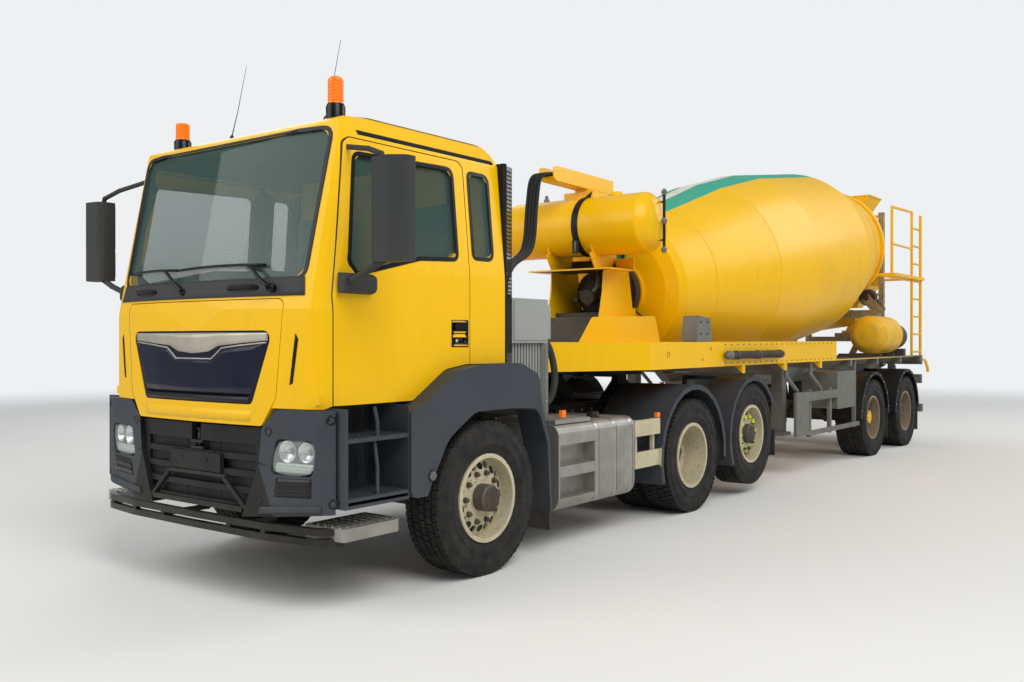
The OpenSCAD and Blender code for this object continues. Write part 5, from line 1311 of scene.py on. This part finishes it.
class MIXER_OT_lamps(bpy.types.Operator):
    """Headlamps with reflectors, beacons, markers and tail lamps"""
    bl_idname = "mixer.lamp_bodies"
    bl_label = "Lamps"

    def execute(self, context):
        finishes()
        shape = Shape()
        on_lamps = partial(lay_front, nodes=("lamps",))
        # clear cover, ribbed low field and dark back of a headlamp
        cover = [(0.709, 0.801), (1.039, 0.801), (1.073, 1.009), (0.761, 1.009)]
        shape.patch(cover, 14, 8, 0.0, on_lamps, 0, thick=0.004, soft=0.6)
        low = [(0.735, 0.814), (1.012, 0.814), (1.050, 0.872), (0.740, 0.872)]
        shape.patch(low, 26, 3, -0.012, on_lamps, 4, thick=0.003, wave=0.004, soft=0.3)
        back = [(0.712, 0.804), (1.036, 0.804), (1.070, 1.006), (0.764, 1.006)]
        shape.patch(back, 8, 6, -0.046, on_lamps, 1, thick=0.003, soft=0.6)
        for y, z, r in ((0.835, 0.938, 0.062), (0.975, 0.938, 0.056)):
            (spot,), (n,) = on_lamps([(y, z)])
            foot = spot - n * 0.044
            bowl = [(THIN, 0.02), (r * 0.45, 0.12), (r * 0.8, 0.42), (r, 0.84), (r * 1.06, 0.86), (r * 1.06, 0.78),
                    (r * 0.7, 0.2), (THIN, 0.0)]
            shape.lathe(bowl, foot, foot + n * 0.04, 2, 36)
            bulb = [(THIN, 0.1), (0.016, 0.1), (0.016, 0.6), (0.012, 0.86), (THIN, 0.9)]
            shape.lathe(bulb, foot, foot + n * 0.036, 3, 20)
        # tail lamps with three fields
        for k, field in enumerate((5, 3, 6)):
            y = 0.562 + 0.113 * k
            shape.box(at_axle(-5.138, y, 0.722), at_axle(-5.092, y + 0.108, 0.858), field)
        shape.mirrored()
        # beacons: a black foot and a ribbed orange dome
        for y, high, dome in ((0.806, 0.07, 0.15), (-0.806, 0.045, 0.11)):
            foot = at_axle(1.0, y, 2.985)
            tip = foot + UP * high
            shape.lathe([(0.060, -1.1), (0.061, 0.7), (0.057, 0.86), (0.053, 1)], foot, tip, 1, 40)
            rows = [(0.050, 0.0), (0.050, 0.03)]
            for k in range(1, 9):
                rows += [(0.0500, 0.1 * k - 0.02), (0.0475, 0.1 * k)]
            rows += [(0.050, 0.97), (0.0485, 1.02), (0.04, 1.09), (0.03, 1.13), (THIN, 1.15)]
            shape.lathe(rows, tip, tip + UP * dome, 5, 40, False)
        obj = shape.piece("lamps_dressed", "tractor", "lens trim chrome steel ribbed orange red_lens", recalc=True)
        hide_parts("lamps")
        marker = Shape()
        # white marker on the front wheel's arch
        (spot,), (n,) = lay_side([(0.600, 0.742)], ("cab_fenders",))
        foot, tip = spot - n * 0.012, spot + n * 0.012
        marker.lathe([(0.036, -0.3), (0.036, 0.75), (0.031, 0.85), (THIN, 0.85)], foot, tip, 1, 32)
        marker.lathe([(0.030, 0.5), (0.030, 0.95), (0.022, 1.15), (THIN, 1.2)], foot, tip, 0, 32)
        # orange markers on the catwalk and before the drive wheels' mudguard
        marker.box(at_axle(-1.125, 1.06, 0.990), at_axle(-1.075, 1.09, 1.045), 2)
        marker.box(at_axle(-2.435, 1.17, 0.914), at_axle(-2.385, 1.20, 0.955), 2)
        marker.mirrored()
        marker.piece("side_markers", "tractor", "lens trim orange", recalc=True)
        return {"FINISHED"}


class MIXER_OT_steps(bpy.types.Operator):
    """Studs on the entry steps, the tread's teeth and the divider tubes"""
    bl_idname = "mixer.steps"
    bl_label = "Entry steps"

    def execute(self, context):
        finishes()
        shape = Shape()
        if context.scene.mixer_cab.studs:
            studs = grown("stud_grid", Long=0.20, Wide=0.15, Columns=9, Rows=6, Radius=0.0065, Height=0.006)
            for z in (1.0265, 0.6825):
                for x in (0.915, 1.175):
                    shape.join(studs, Matrix.Translation(at_axle(x, 1.155, z)), 1)
        for z0, z1 in ((1.024, 1.196), (0.680, 1.0)):
            shape.tube([at_axle(1.045, y, z) for y, z in ((1.215, z0), (1.215, (z0 + z1) / 2), (1.19, z1))], 0.012)
        # saw teeth round the openings of the low tread
        for k in range(9):
            for j in range(5):
                x, y = 0.888 + k * 0.053, 0.95 + j * 0.06
                foot = ((0, -0.012), (0.012, -0.012), (0.012, 0.012), (0, 0.012))
                base = [at_axle(x + a, y + b, 0.513) for a, b in foot]
                shape.add(base + [at_axle(x + 0.006, y, 0.5225)],
                          [(0, 3, 2, 1), (0, 1, 4), (1, 2, 4), (2, 3, 4), (3, 0, 4)], 2)
        shape.mirrored()
        shape.piece("step_details", "tractor", "slate slate aluminium")
        return {"FINISHED"}


class MIXER_OT_chassis(bpy.types.Operator):
    """Tank cap and bands, cabinet details, mudguard bolts and flaps of the tractor"""
    bl_idname = "mixer.chassis"
    bl_label = "Tractor chassis"

    def execute(self, context):
        finishes()
        tank = Shape()
        # filler cap, and the raised studs of the catwalk and the tank's steps
        tank.lathe([(0.055, 0), (0.055, 0.3), (0.048, 0.35), (0.048, 0.9), (0.040, 1.0), (THIN, 1.0)],
                   at_axle(-1.62, 1.02, 0.953), at_axle(-1.62, 1.02, 1.005), 1, 32)
        grid = grown("stud_grid", Long=0.20, Wide=0.48, Columns=6, Rows=14, Radius=0.009, Height=0.006)
        for x in (-0.98, -1.20):
            tank.join(grid, Matrix.Translation(at_axle(x, 0.90, 0.988)))
        grid = grown("stud_grid", Long=0.42, Wide=0.06, Columns=14, Rows=3, Radius=0.006, Height=0.004)
        for z in (0.404, 0.644):
            tank.join(grid, Matrix.Translation(at_axle(-1.09, 1.165, z)))
        # steel bands: their way out is square to the side or the top they lie on
        path = rounded([(0.486, 0.302, 0.05), (1.226, 0.302, 0.108), (1.226, 0.953, 0.088), (0.486, 0.953, 0.06)], 6)
        for x in (-1.37, -1.64, -1.89):
            spots = [at_axle(x, p.x, p.y) for p in path]
            out = [(s - at_axle(x, 0.855, 0.628)).normalized() for s in spots]
            out = [Vector((0, n.y, 0)) if abs(n.y) > abs(n.z) * 1.05 else UP * n.z for n in out]
            out = [n.normalized() for n in out]
            tank.ribbon([s - n * 0.004 for s, n in zip(spots, out)], out, 0.020, 0.0025, 2, True)
        tank.piece("fuel_tank_trim", "tractor", "aluminium black_plastic steel", recalc=True)
        cab = Shape()
        # cabinet door, its edge post with screws, and knobs
        cab.box(at_axle(-0.94, 1.0405, 1.59), at_axle(-0.52, 1.0465, 1.88))
        for z in (1.80, 1.70):
            cab.lathe([(0.030, 0), (0.030, 0.35), (0.022, 0.45), (0.024, 0.9), (0.020, 1.0), (THIN, 1.0)],
                      at_axle(-0.958, 0.985, z), at_axle(-1.0, 0.985, z), 1, 28)
        cab.box(at_axle(-0.948, 1.0405, 1.02), at_axle(-0.905, 1.046, 1.565), 2)
        for z in (1.12, 1.30, 1.48):
            screw = [(0.008, 0), (0.008, 0.8), (THIN, 1)]
            cab.lathe(screw, at_axle(-0.926, 1.045, z), at_axle(-0.926, 1.050, z), 3, 12)
        slats = grown("slat_row", Count=19, Step=(0.018, 0.0, 0.0), Size=(0.002, 0.50, 0.44))
        cab.join(slats, Matrix.Translation(at_axle(-0.876, 0.74, 1.34)), 3)
        # fan: hub, six spokes and ring
        fan, end = at_axle(-1.045, 0.700, 1.740), at_axle(-1.064, 0.700, 1.740)
        cab.lathe([(0.100, 0), (0.100, 1), (0.086, 1.05), (0.082, 0.6), (0.082, 0)], fan, end, 4, 40)
        cab.lathe([(0.030, 0), (0.030, 1.1), (THIN, 1.3)], fan, end, 4, 24)
        for k in range(6):
            spoke = Vector((0, cos(pi * k / 3), sin(pi * k / 3)))
            cab.tube([fan.lerp(end, 0.5) + spoke * 0.02, fan.lerp(end, 0.5) + spoke * 0.088], 0.008, 4, 6)
        # thick hose that loops down from the fan housing to the cooler
        hose = [(-1.03, 0.93, 1.62), (-1.10, 0.96, 1.50), (-1.13, 0.98, 1.30), (-1.06, 0.99, 1.14),
                (-0.96, 0.97, 1.09), (-0.905, 0.92, 1.10)]
        hose = smooth_path([at_axle(*p) for p in hose], 8)
        cab.tube(hose, 0.027, 1, 12)
        cab.tube([hose[0] + UP * 0.05, hose[0]], 0.034, 3, 14)
        cab.box(at_axle(-1.045, 0.86, 1.60), at_axle(-0.96, 1.0, 1.86))
        cab.piece("cabinet_details", "tractor", "grey rubber zinc steel red", recalc=True)
        guard = Shape()
        bolts = 9
        for x, z, r, a0, a1 in ((DRIVE_X, TYRE_R, 0.635, -18, 186), (TAG_X, LIFTED_Z, 0.575, -28, 150)):
            for k in range(bolts):
                a = radians(a0 + (a1 - a0) * (k + 0.5) / bolts)
                p = at_axle(x + r * cos(a), GUARD_FACE, z + r * sin(a))
                guard.lathe([(0.009, 0), (0.009, 0.7), (THIN, 1.0)], p, p + Vector((0, 0.007, 0)), 0, 10)
        # ribbed flaps behind the tag wheel and before the drive wheels
        for x, top, low, y0, y1 in ((-4.93, 0.62, 0.34, 0.93, 1.235), (-3.69, 0.70, 0.40, 0.57, 1.235)):
            guard.box(at_axle(x - 0.008, y0, low), at_axle(x, y1, top), 1)
            for k in range(7):
                y = y0 + 0.02 + (y1 - y0 - 0.04) * k / 6
                guard.box(at_axle(x - 0.014, y - 0.006, low + 0.02), at_axle(x + 0.006, y + 0.006, top - 0.02), 1)
        # flap behind the front wheel
        guard.box(at_axle(-0.700, 1.0, 0.20), at_axle(-0.688, 1.24, 0.345), 1)
        guard.mirrored()
        guard.piece("mudguard_details", "tractor", "oily rubber")
        return {"FINISHED"}


class MIXER_OT_couplings(bpy.types.Operator):
    """Frame bolts and the brake pipes along the tractor's rails"""
    bl_idname = "mixer.couplings"
    bl_label = "Lines and bolts"

    def execute(self, context):
        finishes()
        rail = Shape()
        for x in [-0.75 - 0.16 * k for k in range(26)]:
            for z in (0.80, 0.95):
                rail.rod(at_axle(x, 0.4295, z), at_axle(x, 0.442, z), 0.011, 0, 6)
        for x in (-3.38, -2.85, -3.12):
            rail.rod(at_axle(x, 0.33, 1.0), at_axle(x, 0.33, 1.030), 0.014, 0, 6)
        rail.mirrored()
        # clipped brake pipes inside the rails
        for y, z in ((0.36, 0.985), (0.345, 0.965), (-0.36, 0.98)):
            rail.tube([at_axle(-0.62, y, z), at_axle(-2.4, y, z)], 0.008, 1, 8)
        rail.piece("frame_bolts", "tractor", "steel rubber")
        return {"FINISHED"}


class MIXER_OT_trailer(bpy.types.Operator):
    """Holes, bolts, spiral hose, brackets and lines of the trailer"""
    bl_idname = "mixer.trailer_trim"
    bl_label = "Trailer trim"

    def execute(self, context):
        finishes()
        side = Shape()
        # holes in the gooseneck's side, drawn as dark cups of painted shade, and bolts along the rail
        for x, z, r in ((0.55, 1.46, 0.024), (-0.30, 1.505, 0.016), (-0.12, 1.405, 0.012)):
            side.lathe([(r * 1.05, 0.0), (r * 1.05, 1.0), (r * 0.98, 1.0), (r * 0.96, 0.2), (THIN, 0.2)],
                       at_pin(x, RAIL_FACE - 0.001, z), at_pin(x, RAIL_FACE + 0.003, z), 1, 24)
        for k in range(22):
            x = -0.62 - 0.145 * k
            for z in (1.36, 1.545):
                side.rod(at_pin(x, RAIL_FACE - 0.001, z), at_pin(x, RAIL_FACE + 0.006, z), 0.008, 2, 6)
        side.mirrored()
        # spiral suction hose that lies along the left rail, with its end fitting and three clips
        y, z = 1.268, 1.44

        def about_hose(x, r, a):
            return at_pin(x, y + r * cos(a), z + r * sin(a))
        x0, x1 = -0.64, -1.94
        steps = 920
        coil = [about_hose(x0 + (x1 - x0) * k / steps, 0.036, pi * k / 5) for k in range(steps + 1)]
        side.tube(coil, 0.0045, 3, 5)
        side.rod(at_pin(x0 + 0.01, y, z), at_pin(x1 - 0.01, y, z), 0.034, 1, 20)
        side.lathe([(0.030, 0), (0.043, 0.02), (0.043, 0.6), (0.030, 0.7), (0.030, 1.0), (THIN, 1.0)],
                   at_pin(x0, y, z), at_pin(x0 + 0.09, y, z), 2, 24)
        for x in (-0.75, -1.28, -1.85):
            side.box(at_pin(x - 0.04, 1.215, 1.395), at_pin(x, 1.31, 1.401), 2)
            side.tube([about_hose(x - 0.02, 0.043, radians(200 - 22 * j)) for j in range(12)], 0.004, 2, 6)
        side.piece("trailer_side_details", "trailer", "yellow_low black_plastic zinc oily")
        # galvanised bracket box on the rail beside the drum
        box = Shape()
        inner, outer = 1.03, 1.20
        outline = ((-0.06, 1.5715), (-0.36, 1.5715), (-0.36, 1.60), (-0.34, 1.80), (-0.10, 1.82), (-0.06, 1.60))
        box.prism([at_pin(x, inner, z) for x, z in outline], (0, outer - inner, 0))
        for x, z in ((-0.13, 1.65), (-0.27, 1.65), (-0.13, 1.76), (-0.27, 1.76)):
            box.rod(at_pin(x, outer - 0.001, z), at_pin(x, outer + 0.008, z), 0.012, 1, 6)
        box.piece("rail_bracket", "trailer", "zinc oily", bevel=0.006, recalc=True)
        lines = Shape()
        # thin hydraulic lines from the gearbox down to the frame
        for k in range(6):
            y = -0.22 + 0.085 * k
            path = ((-0.38, 0, 2.00), (-0.52, 0.05, 1.90), (-0.70, 0.16, 1.74), (-0.86, 0.25, 1.62),
                    (-1.02, 0.27, 1.56))
            lines.tube(smooth_path([at_pin(x, y + out, z) for x, out, z in path], 6), 0.009, 0, 8)
        lines.piece("gearbox_lines", "trailer", "oily")
        return {"FINISHED"}


class MIXER_OT_gearbox(bpy.types.Operator):
    """Bolt rings, motor ports and pipes on the drum's gearbox"""
    bl_idname = "mixer.gearbox"
    bl_label = "Gearbox"

    def execute(self, context):
        finishes()
        shape = Shape()
        aim = (-DRUM_AXIS).to_track_quat("Z", "Y").to_matrix().to_4x4()
        rings = ((-0.20, 0.285, 28, 0.010), (-0.452, 0.215, 24, 0.009), (-0.522, 0.13, 12, 0.009))
        for s, circle, count, head in rings:
            ring = grown("bolt_ring", Count=count, Circle=circle, Head=head, Height=0.014)
            shape.join(ring, Matrix.Translation(DRUM_FOOT + DRUM_AXIS * (s + 0.004)) @ aim)
        shape.lathe([(0.232, 0), (0.234, 0.3), (0.222, 0.5), (0.17, 0.62), (0.155, 1.0), (THIN, 1.0)],
                    at_drum(-0.449, 0, 0), at_drum(-0.4995, 0, 0), 1, 48)
        # pipe from the motor over the gearbox, and the motor's two ports
        pipe = ((-0.70, 0.05, 60), (-0.69, 0.17, 60), (-0.60, 0.25, 30), (-0.47, 0.26, 8))
        shape.tube(smooth_path([at_drum(s, r, radians(a)) for s, r, a in pipe], 8), 0.020, 2, 12)
        for a in (100, 250):
            shape.rod(at_drum(-0.70, 0.075, radians(a)), at_drum(-0.70, 0.135, radians(a)), 0.026)
        # return hoses that fall from the arm's end behind the tank to the motor
        for y in (0.05, -0.06):
            path = ((-0.36, 1, 3.125), (-0.52, 1, 3.09), (-0.60, 1, 2.95), (-0.56, 1.5, 2.70), (-0.42, 3.4, 2.44),
                    (-0.20, 5, 2.30))
            shape.tube(smooth_path([at_pin(x, y * wide, z) for x, wide, z in path], 6), 0.0165, 3)
        shape.piece("gearbox_details", "trailer", "oily oily zinc rubber", recalc=True)
        return {"FINISHED"}


class MIXER_OT_tank(bpy.types.Operator):
    """Fittings and valves of the water tank"""
    bl_idname = "mixer.tank"
    bl_label = "Water tank"

    def execute(self, context):
        finishes()
        shape = Shape()
        # the strap's plate with its screw
        y = 0.11
        shape.box(at_pin(0.36, y - 0.035, 2.43), at_pin(0.372, y + 0.035, 2.56))
        shape.rod(at_pin(0.372, y, 2.44), at_pin(0.372, y, 2.55), 0.008, 1, 8)
        # taps on the left end
        for z in (2.44, 2.98, 2.71):
            tap = [(0.022, 0), (0.022, 0.3), (0.028, 0.35), (0.028, 0.7), (0.016, 0.8), (0.016, 1.0), (THIN, 1)]
            shape.lathe(tap, at_pin(0.12, 0.945, z - 0.03), at_pin(0.12, 0.945, z + 0.03), 1, 20)
        shape.tube([at_pin(0.12, 0.95, 2.985), at_pin(0.15, 0.975, 2.99), at_pin(0.20, 0.985, 2.99)], 0.006, 1, 8)
        # relief valve and filler on top
        shape.lathe([(0.030, 0), (0.030, 0.4), (0.018, 0.5), (0.018, 0.9), (THIN, 1)],
                    at_pin(0.10, -0.42, 2.995), at_pin(0.10, -0.42, 3.07), 1, 20)
        shape.lathe([(0.055, 0), (0.055, 0.6), (0.045, 0.8), (THIN, 0.85)],
                    at_pin(0.10, 0.42, 2.995), at_pin(0.10, 0.42, 3.04), 2, 28)
        shape.piece("water_tank_fittings", "trailer", "black zinc yellow", recalc=True)
        return {"FINISHED"}


def radius_at(profile, s):
    """The radius of a profile of (distance, radius) rows at a distance along it."""
    for (s0, r0), (s1, r1) in zip(profile, profile[1:]):
        if s0 <= s <= s1:
            r = r0 + (r1 - r0) * (s - s0) / (s1 - s0)
    return r


class MIXER_OT_drum(bpy.types.Operator):
    """Weld seams and inner blades of the drum"""
    bl_idname = "mixer.drum_trim"
    bl_label = "Drum"

    def execute(self, context):
        finishes()
        profile = [(0.11, 0.742), (1.82, 1.070), (BELLY_START, 1.173), (BELLY_END, 1.173), (6.42, 0.830)]
        seams = Shape()
        for s in (0.62, 1.82, 5.55):
            ring = [at_drum(s, radius_at(profile, s) + 0.0005, 2 * pi * k / 120) for k in range(120)]
            seams.tube(ring, 0.0035, 0, 6, True)
        seams.piece("drum_weld_seams", "drum", "drum")
        inside = Shape()
        # two spiral blades, 320 mm deep, a turn every 2.2 m
        inner = [(0.45, 0.80), (1.82, 1.055), (BELLY_START, 1.158), (BELLY_END, 1.158), (6.42, 0.812), (6.95, 0.61)]
        steps, depth, turn = 190, 0.32, 2.2
        for start in (0.0, pi):
            verts = []
            for k in range(steps + 1):
                s = 0.5 + 6.4 * k / steps
                r = radius_at(inner, s)
                root, edge = r - 0.004, r - min(depth, r * 0.42)
                a = start + 2 * pi * s / turn
                verts += [at_drum(s + shift, far, a)
                          for shift, far in ((-0.003, root), (-0.05, edge), (-0.044, edge), (0.003, root))]
            faces = [(4 * k + j, 4 * k + 4 + j, 4 * k + 4 + (j + 1) % 4, 4 * k + (j + 1) % 4)
                     for k in range(steps) for j in range(4)]
            faces += [(0, 1, 2, 3), (4 * steps + 3, 4 * steps + 2, 4 * steps + 1, 4 * steps)]
            inside.add(verts, faces)
        inside.piece("drum_blades", "drum", "oily", recalc=True)
        return {"FINISHED"}


class MIXER_OT_rear(bpy.types.Operator):
    """Ladder studs, flaps, lamps, mudguard bolts and hopper edges at the rear"""
    bl_idname = "mixer.rear"
    bl_label = "Rear"

    def execute(self, context):
        finishes()
        shape = Shape()
        for k in range(8):
            z = 1.400 + 0.275 * k
            for j in range(7):
                x = -7.56 - 0.06 * j
                shape.lathe([(0.0155, 0), (0.0155, 1)], at_pin(x, 1.15, z), at_pin(x - 0.012, 1.15, z), 0, 12)
        # tail lamps of the trailer, in three fields, and a blank plate
        for m in (1, -1):
            for j, mat in enumerate((2, 3, 2)):
                y = m * (0.856 + 0.112 * j)
                shape.box(at_pin(-7.951, y, 0.908), at_pin(-7.968, y + m * 0.106, 1.032), mat)
            # ribbed flaps and the mudguards' bolts
            for x in (-5.93, -7.50):
                shape.box(at_pin(x - 0.010, m * 0.86, 0.20), at_pin(x, m * 1.235, 0.62), 1)
                for j in range(8):
                    y = 0.88 + 0.047 * j
                    shape.box(at_pin(x - 0.016, m * y, 0.22), at_pin(x - 0.009, m * (y + 0.01), 0.60), 1)
            for x in (TRAILER_X, TRAILER_X + TRAILER_STEP):
                for k in range(9):
                    a = radians(12 + 156 * k / 8)
                    p = at_pin(x + 0.61 * cos(a), m * GUARD_FACE, TYRE_R + 0.61 * sin(a))
                    shape.rod(p, p + Vector((0, m * 0.006, 0)), 0.009, 4, 8)
        shape.box(at_pin(-7.971, -0.26, 0.475), at_pin(-7.975, 0.26, 0.545), 5)
        shape.piece("rear_details", "trailer", "yellow rubber red_lens orange steel cream")
        rim = Shape()
        edge = [Vector(e) for e in ((-8.18, -0.49), (-8.18, 0.49), (-7.56, 0.49), (-7.56, -0.49))]
        rim.tube([at_pin(x, y, 3.902) for x, y in spaced(edge, 0.1)], 0.012, 0, 8, True)
        rib = ((-8.18, 3.88), (-8.195, 3.88), (-8.00, 3.46), (-7.965, 3.46))
        for y in (-0.30, 0.0, 0.30):
            rim.prism([at_pin(x, y - 0.006, z) for x, z in rib], (0, 0.012, 0))
        rim.piece("hopper_ribs", "trailer", "yellow_low", recalc=True)
        grit = Shape()
        grid = grown("stud_grid", Long=1.60, Wide=0.075, Columns=60, Rows=3, Radius=0.007, Height=0.005)
        grit.join(grid, Matrix.Translation(at_pin(-7.245, 1.155, 2.572)))
        grit.piece("platform_studs", "trailer", "yellow_low")
        return {"FINISHED"}


# ---------------------------------------------------------------- panel and start

STEPS = ("stage", "hoses", "paint", "tyres", "wheels", "cab_trim", "doors", "flap", "bumper_trim", "lamp_bodies",
         "steps", "chassis", "couplings", "trailer_trim", "gearbox", "tank", "drum_trim", "rear")
GROUPS = {"mixer_paint": PaintSizes, "mixer_wheels": WheelSizes, "mixer_cab": CabSizes, "mixer_hoses": HoseSizes}


class MIXER_PT_looks(bpy.types.Panel):
    """Lists the sizes and the steps of the truck's looks"""
    bl_idname = "MIXER_PT_looks"
    bl_label = "Mixer Truck"
    bl_space_type = "VIEW_3D"
    bl_region_type = "UI"
    bl_category = "Mixer Truck"

    def draw(self, context):
        for group in GROUPS:
            sizes = getattr(context.scene, group)
            for name in sizes.__annotations__:
                self.layout.prop(sizes, name)
        for step in STEPS:
            self.layout.operator("mixer." + step)


CLASSES = (*GROUPS.values(), MIXER_OT_stage, MIXER_OT_hoses, MIXER_OT_paint, MIXER_OT_tyres, MIXER_OT_wheels,
           MIXER_OT_cab_trim, MIXER_OT_doors, MIXER_OT_flap, MIXER_OT_bumper, MIXER_OT_lamps, MIXER_OT_steps,
           MIXER_OT_chassis, MIXER_OT_couplings, MIXER_OT_trailer, MIXER_OT_gearbox, MIXER_OT_tank, MIXER_OT_drum,
           MIXER_OT_rear, MIXER_PT_looks)


def register():
    for c in CLASSES:
        bpy.utils.register_class(c)
    for name, group in GROUPS.items():
        setattr(bpy.types.Scene, name, PointerProperty(type=group))


def unregister():
    for name in GROUPS:
        delattr(bpy.types.Scene, name)
    for c in reversed(CLASSES):
        bpy.utils.unregister_class(c)


def main():
    register()
    for step in STEPS:
        getattr(bpy.ops.mixer, step)()


if __name__ == "__main__":
    main()
